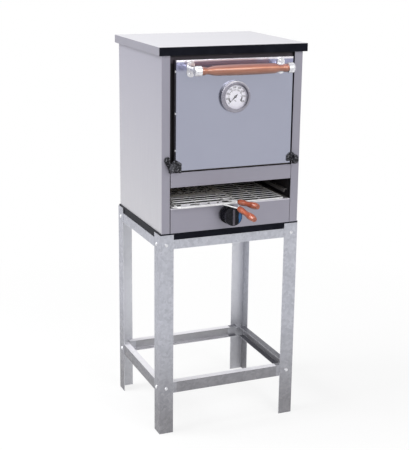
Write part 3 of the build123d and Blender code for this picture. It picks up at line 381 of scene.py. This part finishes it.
# Base frame, base pan and the cover's front strip: sheet steel in black stove enamel, with the faint
# ripple that sprayed enamel keeps and bare metal just showing along its edges.
enamel, tree, shader, place = finish_named("black_stove_enamel")
black = clouded(tree, noise(tree, place, 30, 4), (0.004, 0.0045, 0.009), (0.008, 0.009, 0.015))
black = overlaid(tree, black, ranged(tree, edge_wear_and_sheen(tree, 0.0008), 0.0, 0.35), (0.10, 0.10, 0.12))
finished(tree, shader, black, ranged(tree, noise(tree, place, 55, 3), 0.34, 0.50),
         noise(tree, place, 260, 2), depth=0.00008, strength=0.3)
shader.inputs["Specular IOR Level"].default_value = 0.06
dress(enamel, "base_frame", "base_pan", "cover_front_trim")

# Cabinet sheets: folded satin stainless steel, rolled with a fine grain. The sheet is a cool grey with
# slow cloudy changes of tone, and rubbed bright along its folds. Painted light makes the sides lighter
# towards the bottom, and lights the cover's top and the lower panel's top edge. Painted shade makes the
# edges that turn in beside the door's mouth near black.
upright_grain = (900, 900, 9)
level_grain = (9, 900, 900)
side_light_heights = (0.79, 1.38)
mouth_half_width = (0.2378, 0.2382)
mouth_front = (-0.1362, -0.1356)
mouth_back = (-0.105, -0.100)
mouth_gap_shade = (0.012, 0.011, 0.014)
sheet_clouds_per_metre = 3.2
fold_wear = 0.0012
rubbed_brighter = 1.35
brightest_rub = 0.95
streaks_paler = 1.06
band_fade = 0.010
strip_fade = 0.003


def satin_sheet(name, dark, light, grain, metal, roughness=(0.30, 0.44), upward=None, sideways=None,
                top_strip=None, under_strip=None, forward=None):
    """A rolled sheet's finish between two tones, its grain along one axis, its folds rubbed bright.

    Faces that look upward or sideways can have tones of painted light of their own, the sideways ones a
    low and a high tone. Faces that look forward can have a tone of their own. A strip along the top edge and
    a band under it, each from a level upwards, can carry painted light or shade. Sheets with sideways tones
    get painted shade at the door's mouth.
    """
    material, tree, shader, place = finish_named(name)
    streak = noise(tree, stretched(tree, place, grain), 1.0, 3, 0.6)
    cloud = noise(tree, place, sheet_clouds_per_metre, 4, 0.55)
    colour = graded(tree, shared(tree, streak, cloud, 0.35), [(0.32, dark), (0.68, light)])
    height = along(tree, place, "Z")
    # Painted light: faces that look sideways get their own tone, lighter towards the bottom.
    if sideways:
        low, high = sideways
        lit_side_tone = graded(tree, above(tree, height, *side_light_heights), [(0.0, low), (1.0, high)])
        paler = tuple(streaks_paler * part for part in high)
        lit_side_tone = overlaid(tree, lit_side_tone, ranged(tree, streak, 0.0, 0.5, 0.35, 0.75), paler)
        to_a_side = worked(tree, "ABSOLUTE", faced(tree, "X"))
        colour = overlaid(tree, colour, above(tree, to_a_side, 0.5, 0.9), lit_side_tone)
    # Painted light on faces that look upward.
    if upward:
        colour = overlaid(tree, colour, above(tree, faced(tree, "Z"), 0.4, 0.9), upward)
    # Painted light or shade in a band under the top edge and a strip along it.
    if under_strip:
        level, tone = under_strip
        colour = overlaid(tree, colour, ranged(tree, height, 0.0, 0.8, level, level + band_fade), tone)
    if top_strip:
        level, tone = top_strip
        colour = overlaid(tree, colour, ranged(tree, height, 0.0, 0.9, level, level + strip_fade), tone)
    bright = tuple(min(brightest_rub, rubbed_brighter * part) for part in light)
    colour = overlaid(tree, colour, ranged(tree, edge_wear_and_sheen(tree, fold_wear), 0.0, 0.5), bright)
    # Painted shade, near black, on the edges that turn in beside the door's mouth.
    if sideways:
        across = worked(tree, "ABSOLUTE", along(tree, place, "X"))
        deep = along(tree, place, "Y")
        mouth = both(tree, below(tree, across, *mouth_half_width), above(tree, deep, *mouth_front))
        colour = overlaid(tree, colour, both(tree, mouth, below(tree, deep, *mouth_back)), mouth_gap_shade)
    if forward:
        colour = overlaid(tree, colour, below(tree, faced(tree, "Y"), *squarely), forward)
    finished(tree, shader, colour, ranged(tree, streak, *roughness), streak, depth=0.00004, strength=0.25)
    shader.inputs["Metallic"].default_value = metal
    return material


# Painted light: the side faces are lighter towards the bottom.
cabinet_steel = satin_sheet("cabinet_satin_steel", (0.290, 0.282, 0.337), (0.335, 0.325, 0.385),
                            upright_grain, metal=0.35,
                            sideways=((0.505, 0.500, 0.525), (0.325, 0.318, 0.380)))
dress(cabinet_steel, "side_panel_left", "side_panel_right", "back_panel")
front_dark = (0.290, 0.280, 0.337)
front_light = (0.335, 0.325, 0.385)
front_steel = satin_sheet("front_satin_steel", front_dark, front_light, level_grain, metal=0.35)
dress(front_steel, "fascia_strip")
# Painted highlight along the lower panel's top edge.
lower_panel_highlight_level = 0.860
lower_steel = satin_sheet("lower_satin_steel", front_dark, front_light, level_grain, metal=0.35,
                          top_strip=(lower_panel_highlight_level, (0.66, 0.65, 0.70)))
dress(lower_steel, "lower_panel")
# Painted light on the cover's upward faces.
cover_steel = satin_sheet("cover_satin_steel", (0.235, 0.229, 0.275), (0.265, 0.258, 0.308), level_grain,
                          metal=0.30, upward=(0.575, 0.57, 0.61), forward=(0.008, 0.008, 0.014))
dress(cover_steel, "top_cover")

# Door skin: a satin sheet rolled smoother than the cabinet's, folded back round the pan behind it and
# riveted to that at the sides. A painted highlight runs along its top edge and on its upward faces, and a
# bluish band under it is a painted reflection of the grip's shaded back.
door_highlight_edge = 1.3775
door_grip_reflection_level = 1.347
# Painted reflection: a dark bluish band under the top strip stands for the grip's shaded back.
door_steel = satin_sheet("door_satin_steel", (0.350, 0.362, 0.450), (0.385, 0.398, 0.485), level_grain,
                         metal=0.85, roughness=(0.13, 0.22), upward=(0.85, 0.80, 0.86),
                         top_strip=(door_highlight_edge, (0.88, 0.85, 0.90)),
                         under_strip=(door_grip_reflection_level, (0.31, 0.31, 0.46)))
dress(door_steel, "door_skin")

# Chamber sheets: plain steel that the fire has browned. Painted shade makes the inner walls, the slot's
# floor and the door pan near black, with painted light on the pan's upward faces. The wall runners are
# grey with painted shade near black above the slot, and the header is dark grey with painted shade near
# black along its top.
rough_grain = (300, 300, 20)
dark_sheet_grain = (200, 200, 20)
browned_steel = satin_sheet("heat_browned_steel", (0.14, 0.115, 0.10), (0.25, 0.22, 0.20), rough_grain,
                            metal=0.6)
dress(browned_steel, "chamber_liner", "burner")
# Painted shade: the inner walls and the slot's floor are near black.
shade_black_steel = satin_sheet("painted_shade_black_steel", (0.004, 0.0035, 0.005), (0.012, 0.010, 0.013),
                           dark_sheet_grain, metal=0.0, roughness=(0.60, 0.80))
dress(shade_black_steel, "inner_walls", "slot_floor")
# Painted shade: the header is dark grey, near black along its top under the cover.
header_shade = 1.3925
header_steel = satin_sheet("header_steel", (0.060, 0.048, 0.062), (0.085, 0.070, 0.088), dark_sheet_grain,
                           metal=0.0, roughness=(0.50, 0.70), top_strip=(header_shade, (0.007, 0.006, 0.009)))
dress(header_steel, "door_header")
# Painted shade: the door pan behind the gap is near black, with painted light on its upward faces.
pan_steel_painted_shade = satin_sheet("pan_steel_painted_shade", (0.040, 0.036, 0.044), (0.075, 0.068, 0.080), rough_grain,
                           metal=0.3, roughness=(0.40, 0.55), upward=(0.16, 0.145, 0.17))
dress(pan_steel_painted_shade, "door_inner_pan")
# Painted shade, near black, on the wall runners above the slot.
runner_shade = 0.93
runner_steel = satin_sheet("runner_steel", (0.13, 0.12, 0.12), (0.24, 0.23, 0.23), (300, 20, 300),
                           metal=0.3, top_strip=(runner_shade, (0.006, 0.005, 0.007)))
dress(runner_steel, "wall_runners")

# Insulation: pressed mineral wool boards, yellowish and fibrous. They are laid loose round the chamber
# and between the door's two sheets.
wool_fibre = (900, 160, 900)
wool, tree, shader, place = finish_named("mineral_wool")
fibre = shared(tree, noise(tree, stretched(tree, place, wool_fibre), 1.0, 5, 0.7),
               noise(tree, place, 260, 6, 0.7), 0.5)
finished(tree, shader, clouded(tree, fibre, (0.50, 0.42, 0.24), (0.74, 0.68, 0.48)),
         ranged(tree, fibre, 0.85, 1.0), fibre, depth=0.0008, strength=0.6)
dress(wool, "chamber_insulation", "door_insulation")

# Hearth tiles: pressed firebrick, sandy with dark grains and a little flour soot. They lie loose on
# the walls' runners.
brick, tree, shader, place = finish_named("firebrick")
grit = noise(tree, place, 420, 6, 0.75)
sand = graded(tree, grit, [(0.30, (0.28, 0.20, 0.13)), (0.5, (0.60, 0.48, 0.34)), (0.8, (0.74, 0.63, 0.47))])
scorch = ranged(tree, noise(tree, place, 9, 4, 0.6), 0.0, 0.7, 0.50, 0.72)
sand = overlaid(tree, sand, scorch, (0.16, 0.12, 0.09))
finished(tree, shader, sand, ranged(tree, grit, 0.82, 0.96), grit, depth=0.0006, strength=0.5)
dress(brick, "hearth_tiles")

# Wire work: racks, grill shelf and toaster grids in bright plated wire, welded, and dulled a little by
# the heat. The toaster's upright front strip is greyer than the wires behind it.
bright_wire, tree, shader, place = finish_named("plated_wire")
wire_tone = clouded(tree, noise(tree, place, 60, 4), (0.80, 0.80, 0.80), (0.95, 0.95, 0.96))
dulled = ranged(tree, noise(tree, place, 12, 3), 0.0, 0.20, 0.55, 0.8)
wire_tone = overlaid(tree, wire_tone, dulled, (0.42, 0.40, 0.41))
strip_face = below(tree, faced(tree, "Y"), -0.995, -0.96)
wire_tone = overlaid(tree, wire_tone, strip_face, (0.62, 0.61, 0.65), "MULTIPLY")
finished(tree, shader, wire_tone, ranged(tree, noise(tree, place, 240, 3), 0.28, 0.42),
         noise(tree, place, 1800, 2), depth=0.00004, strength=0.3)
shader.inputs["Metallic"].default_value = 0.12
dress(bright_wire, "oven_racks", "grill_shelf", "toaster_lower_grid", "toaster_upper_grid")

# Gas parts: machined brass valve, stem and nozzle, turned on a lathe, and drawn copper pipes with a
# brown tarnish, screwed into the valve.
turning_marks = (60, 2400, 60)
brass, tree, shader, place = finish_named("machined_brass")
brass_tone = clouded(tree, noise(tree, place, 90, 4), (0.48, 0.33, 0.12), (0.78, 0.60, 0.27))
brass_tone = overlaid(tree, brass_tone, edge_wear_and_sheen(tree, 0.0006), (0.90, 0.74, 0.40))
finished(tree, shader, brass_tone, ranged(tree, noise(tree, place, 500, 2), 0.20, 0.38),
         noise(tree, stretched(tree, place, turning_marks), 1.0, 2), depth=0.00003, strength=0.4)
shader.inputs["Metallic"].default_value = 1.0
dress(brass, "gas_valve", "valve_plunger", "valve_stem", "hose_nozzle")
copper, tree, shader, place = finish_named("drawn_copper")
finished(tree, shader, clouded(tree, noise(tree, place, 70, 5), (0.36, 0.15, 0.08), (0.74, 0.38, 0.24)),
         ranged(tree, noise(tree, place, 300, 2), 0.22, 0.42), noise(tree, place, 900, 2),
         depth=0.00003, strength=0.3)
shader.inputs["Metallic"].default_value = 1.0
dress(copper, "burner_feed_pipe", "supply_pipe")

# Gas knob: moulded gloss black phenolic, with a blue crescent of paint filled in on the right of its
# face to show the full flame. The left half of the raised bar's front catches the light.
bar_left_edge = (-0.0200, -0.0192)
bar_ridge = (-0.0140, -0.0120)
bar_front = (-0.1945, -0.1938)
phenolic, tree, shader, place = finish_named("black_phenolic")
moulding = clouded(tree, noise(tree, place, 80, 3), (0.006, 0.006, 0.009), (0.013, 0.013, 0.019))
# Painted highlight along the knob's edges.
moulding = overlaid(tree, moulding, ranged(tree, edge_wear_and_sheen(tree, 0.0012), 0.0, 0.7), (0.16, 0.16, 0.19))
across = along(tree, place, "X")
bar_half = both(tree, above(tree, across, *bar_left_edge), below(tree, across, *bar_ridge))
bar_half = both(tree, bar_half, below(tree, along(tree, place, "Y"), *bar_front))
moulding = overlaid(tree, moulding, ranged(tree, bar_half, 0.0, 0.8), (0.15, 0.135, 0.165))
finished(tree, shader, moulding, ranged(tree, noise(tree, place, 160, 2), 0.20, 0.34),
         noise(tree, place, 1200, 2), depth=0.00002, strength=0.3)
shader.inputs["Specular IOR Level"].default_value = 0.14
dress(phenolic, "control_knob")

knob_middle = Vector((-0.014, -0.1934, 0.829))
crescent_outside = 0.0295
crescent_width = 0.0115
crescent_half_turn = math.radians(52)
crescent_point = 0.08
crescent_steps = 24
paint_thickness = 0.0004
paint_sunk = 0.75
form = bmesh.new()
start = Matrix.Rotation(crescent_half_turn, 4, "Y")
inner = form.verts.new(start @ Vector((crescent_outside - crescent_width, 0, 0)))
outer = form.verts.new(start @ Vector((crescent_outside, 0, 0)))
edge = form.edges.new((inner, outer))
bmesh.ops.spin(form, geom=[inner, outer, edge], cent=(0, 0, 0), axis=(0, 1, 0), angle=-2 * crescent_half_turn,
               steps=crescent_steps, use_merge=False)
for point in form.verts:
    radius = math.hypot(point.co.x, point.co.z)
    if radius < crescent_outside - crescent_width / 2:
        turn = math.atan2(point.co.z, point.co.x) / crescent_half_turn
        wanted = crescent_outside - crescent_width * max(crescent_point, math.cos(turn * math.pi / 2))
        point.co.x *= wanted / radius
        point.co.z *= wanted / radius
bmesh.ops.recalc_face_normals(form, faces=form.faces[:])
bmesh.ops.solidify(form, geom=form.faces[:], thickness=paint_thickness)
bmesh.ops.recalc_face_normals(form, faces=form.faces[:])
low = min(point.co.y for point in form.verts)
seat = Vector((0, -low - paint_thickness * paint_sunk, 0))
bmesh.ops.translate(form, vec=knob_middle + seat, verts=form.verts[:])
crescent = placed("knob_blue_crescent", form)
blue_fill, tree, shader, place = finish_named("blue_paint_fill")
finished(tree, shader, clouded(tree, noise(tree, place, 500, 4), (0.004, 0.065, 0.20), (0.010, 0.125, 0.34)),
         ranged(tree, noise(tree, place, 900, 2), 0.28, 0.42), noise(tree, place, 1600, 2),
         depth=0.00003, strength=0.4)
crescent.data.materials.append(blue_fill)
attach(crescent, "knob")

# Hinges: cast leaves, arms and pins with a black phosphate finish, oily in places, mottled with painted
# glints, and worn grey on their corners. The leaves are fixed to the stiles and the arms to the door.
phosphate, tree, shader, place = finish_named("black_phosphate")
cast = noise(tree, place, 190, 5)
# The light spots in the mottling are painted glints.
cast_glint_tone = graded(tree, cast, [(0.40, (0.004, 0.004, 0.006)), (0.54, (0.020, 0.020, 0.026)),
                                (0.66, (0.26, 0.26, 0.29))])
cast_glint_tone = overlaid(tree, cast_glint_tone, ranged(tree, edge_wear_and_sheen(tree, 0.0012), 0.0, 0.45), (0.22, 0.22, 0.25))
finished(tree, shader, cast_glint_tone, ranged(tree, noise(tree, place, 90, 3), 0.26, 0.5), cast,
         depth=0.0004, strength=0.6)
shader.inputs["Metallic"].default_value = 0.25
shader.inputs["Specular IOR Level"].default_value = 0.3
dress(phosphate, "hinge_leaves", "hinge_pins", "door_hinge_arms")

# Door handle: cast brackets with their cups, rod and screws in bright plate over a slightly uneven
# casting, greyer where fingers and flour have been.
bracket_plate, tree, shader, place = finish_named("bracket_bright_plate")
casting = noise(tree, place, 110, 4)
plate_tone = graded(tree, casting, [(0.32, (0.50, 0.50, 0.54)), (0.68, (0.86, 0.86, 0.89))])
plate_tone = overlaid(tree, plate_tone, edge_wear_and_sheen(tree, 0.0012), (0.93, 0.93, 0.95))
finished(tree, shader, plate_tone, ranged(tree, noise(tree, place, 300, 3), 0.16, 0.34), casting,
         depth=0.0004, strength=0.5)
shader.inputs["Metallic"].default_value = 0.7
dress(bracket_plate, "handle_brackets", "handle_rod", "bracket_screws")


# Wooden grips: turned hardwood, stained red-brown and varnished, with the grain along each grip. The
# one on the door spans its brackets, and the small ones are pushed on the toaster's wire handles.
def turned_wood(name, grain_scale, stain, painted_light_ramp):
    """A varnished wood's finish: its grain along one axis, its stain, and painted light and shade from below
    to above.
    """
    material, tree, shader, place = finish_named(name)
    grain = noise(tree, stretched(tree, place, grain_scale), 1.0, 6, 0.65)
    colour = graded(tree, shared(tree, grain, noise(tree, place, 24, 3), 0.7), stain)
    # Painted light: the ramp darkens the undersides and lightens above them; on the door's grip it also
    # darkens the top and lays a narrow painted highlight along the front.
    turned = ranged(tree, faced(tree, "Z"), 0.0, 1.0, -1.0, 1.0)
    everywhere = ranged(tree, turned, 1.0, 1.0)
    colour = overlaid(tree, colour, everywhere, graded(tree, turned, painted_light_ramp), "MULTIPLY")
    finished(tree, shader, colour, ranged(tree, grain, 0.26, 0.42), grain, depth=0.0002, strength=0.25)
    shader.inputs["Coat Weight"].default_value = 0.7
    shader.inputs["Coat Roughness"].default_value = 0.14
    return material


door_grip_grain = (14, 260, 260)
door_grip_stain = [(0.34, (0.62, 0.205, 0.110)), (0.50, (0.84, 0.325, 0.190)), (0.68, (1.0, 0.47, 0.31))]
door_grip_painted_light = [(0.0, (0.15, 0.16, 0.18)), (0.30, (0.33, 0.31, 0.31)), (0.52, (0.46, 0.42, 0.40)),
                   (0.62, (0.62, 0.60, 0.60)), (0.68, (1.0, 1.0, 1.0)), (0.74, (0.56, 0.52, 0.52)),
                   (0.86, (0.33, 0.25, 0.31)), (1.0, (0.26, 0.20, 0.28))]
door_wood = turned_wood("door_grip_wood", door_grip_grain, door_grip_stain, door_grip_painted_light)
dress(door_wood, "handle_grip")
toaster_grip_grain = (260, 16, 260)
toaster_grip_stain = [(0.34, (0.25, 0.040, 0.012)), (0.50, (0.45, 0.092, 0.030)), (0.68, (0.66, 0.19, 0.075))]
toaster_grip_painted_light = [(0.0, (0.30, 0.30, 0.32)), (0.35, (0.62, 0.62, 0.62)), (0.70, (0.95, 0.95, 0.95)),
                      (0.85, (1.0, 1.0, 1.0)), (1.0, (0.86, 0.82, 0.80))]
toaster_wood = turned_wood("toaster_grip_wood", toaster_grip_grain, toaster_grip_stain, toaster_grip_painted_light)
dress(toaster_wood, "toaster_lower_grip", "toaster_upper_grip")

# Thermometer: satin plated case, flat clear glass, white enamelled dial and a black needle. The case's
# face has painted shade in a ring round the glass on its right and a painted highlight on its rim at the
# upper right, and its side has painted shade darkening it towards the door and a painted highlight on top.
case_middle = (-0.0037, 0.0, 1.254)
recess_shade_edge = (0.0462, 0.0480)
recess_shade_side = (0.008, 0.030)
rim_highlight_edge = (0.0522, 0.0532)
rim_highlight_side = (0.030, 0.042)
case_depth = (-0.1680, -0.1645)
case_plate, tree, shader, place = finish_named("gauge_case_plate")
case_tone = clouded(tree, noise(tree, place, 40, 3), (0.27, 0.26, 0.31), (0.34, 0.33, 0.38))
on_face = measured(tree, "MULTIPLY", measured(tree, "SUBTRACT", place, case_middle), (1.0, 0.0, 1.0))
radius = measured(tree, "LENGTH", on_face)
rightward = measured(tree, "DOT_PRODUCT", on_face, (0.9, 0.0, 0.2))
upward = measured(tree, "DOT_PRODUCT", on_face, (0.45, 0.0, 0.89))
# Painted shade in a ring round the glass, on its right side.
recess_shade = both(tree, below(tree, radius, *recess_shade_edge), above(tree, rightward, *recess_shade_side))
case_tone = overlaid(tree, case_tone, recess_shade, (0.075, 0.073, 0.095))
# Painted highlight on the rim's upper right.
rim_highlight = both(tree, above(tree, radius, *rim_highlight_edge), above(tree, upward, *rim_highlight_side))
case_tone = overlaid(tree, case_tone, rim_highlight, (0.80, 0.79, 0.83))
# Painted shade darkens the case's side towards the door, with a painted highlight on its upward faces.
flank_light_and_shade = graded(tree, above(tree, along(tree, place, "Y"), *case_depth),
                   [(0.0, (0.52, 0.51, 0.57)), (1.0, (0.095, 0.092, 0.120))])
flank_light_and_shade = overlaid(tree, flank_light_and_shade, above(tree, faced(tree, "Z"), 0.35, 0.75), (0.88, 0.87, 0.91))
case_tone = overlaid(tree, case_tone, above(tree, faced(tree, "Y"), -0.8, -0.4), flank_light_and_shade)
finished(tree, shader, case_tone, ranged(tree, noise(tree, place, 300, 2), 0.20, 0.32),
         noise(tree, place, 500, 2), depth=0.00001, strength=0.15)
shader.inputs["Metallic"].default_value = 0.7
dress(case_plate, "thermometer_case")
dial_white, tree, shader, place = finish_named("dial_white_enamel")
finished(tree, shader, clouded(tree, noise(tree, place, 60, 3), (0.90, 0.885, 0.985), (0.94, 0.925, 1.0)),
         ranged(tree, noise(tree, place, 200, 2), 0.36, 0.46), noise(tree, place, 700, 2),
         depth=0.00003, strength=0.3)
dress(dial_white, "thermometer_dial")
needle_black, tree, shader, place = finish_named("needle_black")
needle_tone = clouded(tree, noise(tree, place, 300, 2), (0.006, 0.006, 0.008), (0.016, 0.016, 0.020))
finished(tree, shader, needle_tone, ranged(tree, noise(tree, place, 500, 2), 0.38, 0.5),
         noise(tree, place, 900, 2), depth=0.00002, strength=0.3)
dress(needle_black, "thermometer_needle")
glass, tree, shader, place = finish_named("gauge_glass")
shader.inputs["Base Color"].default_value = (1, 1, 1, 1)
shader.inputs["Alpha"].default_value = 0.02
shader.inputs["IOR"].default_value = 1.45
tree.links.new(ranged(tree, noise(tree, place, 40, 2), 0.02, 0.06), shader.inputs["Roughness"])
dress(glass, "thermometer_glass")

# Dial print: black figures from 0 to 400 degrees round the edge, a ring of marks inside them, and two
# thick arcs for the cool and the too hot ends, all printed on the enamel.
gauge_middle = Vector((-0.0037, -0.1618, 1.254))
ink_depth = 0.0002
ink_height = 0.00015
first_angle = 223.0
angle_step = 31.875
degrees_a_step = 50
figure_count = 9
figure_radius = 0.0325
figure_size = 0.0088
figure_weight = 0.00008
unit_size = 0.0085
unit_drop = -0.0150


def printed(name, form, material):
    """Puts a flat print, drawn round the origin in x and z, on the dial's face."""
    bmesh.ops.recalc_face_normals(form, faces=form.faces[:])
    bmesh.ops.translate(form, vec=gauge_middle, verts=form.verts[:])
    piece = placed(name, form)
    piece.data.materials.append(material)
    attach(piece, "door")


def written(form, text, size, across, up):
    """Adds upright figures to a print, centred at a place on the dial."""
    curve = bpy.data.curves.new("dial_figure", "FONT")
    curve.body = text
    curve.size = size
    curve.extrude = ink_depth / 2
    curve.offset = figure_weight
    curve.align_x = "CENTER"
    curve.align_y = "CENTER"
    figure = bpy.data.objects.new("dial_figure", curve)
    bpy.context.scene.collection.objects.link(figure)
    bpy.context.view_layer.update()
    mesh = bpy.data.meshes.new_from_object(figure.evaluated_get(bpy.context.evaluated_depsgraph_get()))
    stood_up = Matrix.Rotation(math.pi / 2, 4, "X")
    mesh.transform(Matrix.Translation((across, -ink_height + ink_depth / 2, up)) @ stood_up)
    form.from_mesh(mesh)
    bpy.data.objects.remove(figure)
    bpy.data.curves.remove(curve)
    bpy.data.meshes.remove(mesh)


ink, tree, shader, place = finish_named("dial_black_ink")
tree.links.new(clouded(tree, noise(tree, place, 900, 3), (0.016, 0.016, 0.022), (0.040, 0.040, 0.050)),
               shader.inputs["Base Color"])
tree.links.new(ranged(tree, noise(tree, place, 600, 2), 0.45, 0.6), shader.inputs["Roughness"])
form = bmesh.new()
for step in range(figure_count):
    angle = math.radians(first_angle - step * angle_step)
    written(form, str(step * degrees_a_step), figure_size, figure_radius * math.cos(angle),
            figure_radius * math.sin(angle))
written(form, "\N{DEGREE SIGN}C", unit_size, 0.0, unit_drop)
printed("dial_figures", form, ink)

marks_a_step = 5
mark_count = 41
mark_outside = 0.0266
long_mark = (0.0062, 0.0015)
short_mark = (0.0040, 0.0008)
form = bmesh.new()
for step in range(mark_count):
    angle = math.radians(first_angle - step * angle_step / marks_a_step)
    reach, width = long_mark if step % marks_a_step == 0 else short_mark
    shape = (Matrix.Translation((0, -ink_height / 2, 0)) @ Matrix.Rotation(-angle, 4, "Y")
             @ Matrix.Translation((mark_outside - reach / 2, 0, 0))
             @ Matrix.Diagonal((reach, ink_depth, width, 1)))
    bmesh.ops.create_cube(form, size=1.0, matrix=shape)
printed("dial_marks", form, ink)

cool_arc = (192.0, 228.0)
hot_arc = (-6.0, -38.0)
arc_radius = 0.0254
arc_width = 0.0042
arc_steps = 16
form = bmesh.new()
for from_angle, to_angle in (cool_arc, hot_arc):
    turn = Matrix.Rotation(-math.radians(from_angle), 4, "Y")
    shape = (turn @ Matrix.Translation((arc_radius, -ink_height / 2, 0))
             @ Matrix.Diagonal((arc_width, ink_depth, 1, 1)))
    flat = bmesh.ops.create_grid(form, x_segments=1, y_segments=1, size=0.5, matrix=shape)["verts"]
    band = list({face for point in flat for face in point.link_faces})
    bmesh.ops.spin(form, geom=flat + band[0].edges[:] + band, cent=(0, 0, 0), axis=(0, 1, 0),
                   angle=-math.radians(to_angle - from_angle), steps=arc_steps, use_merge=False)
printed("dial_arcs", form, ink)
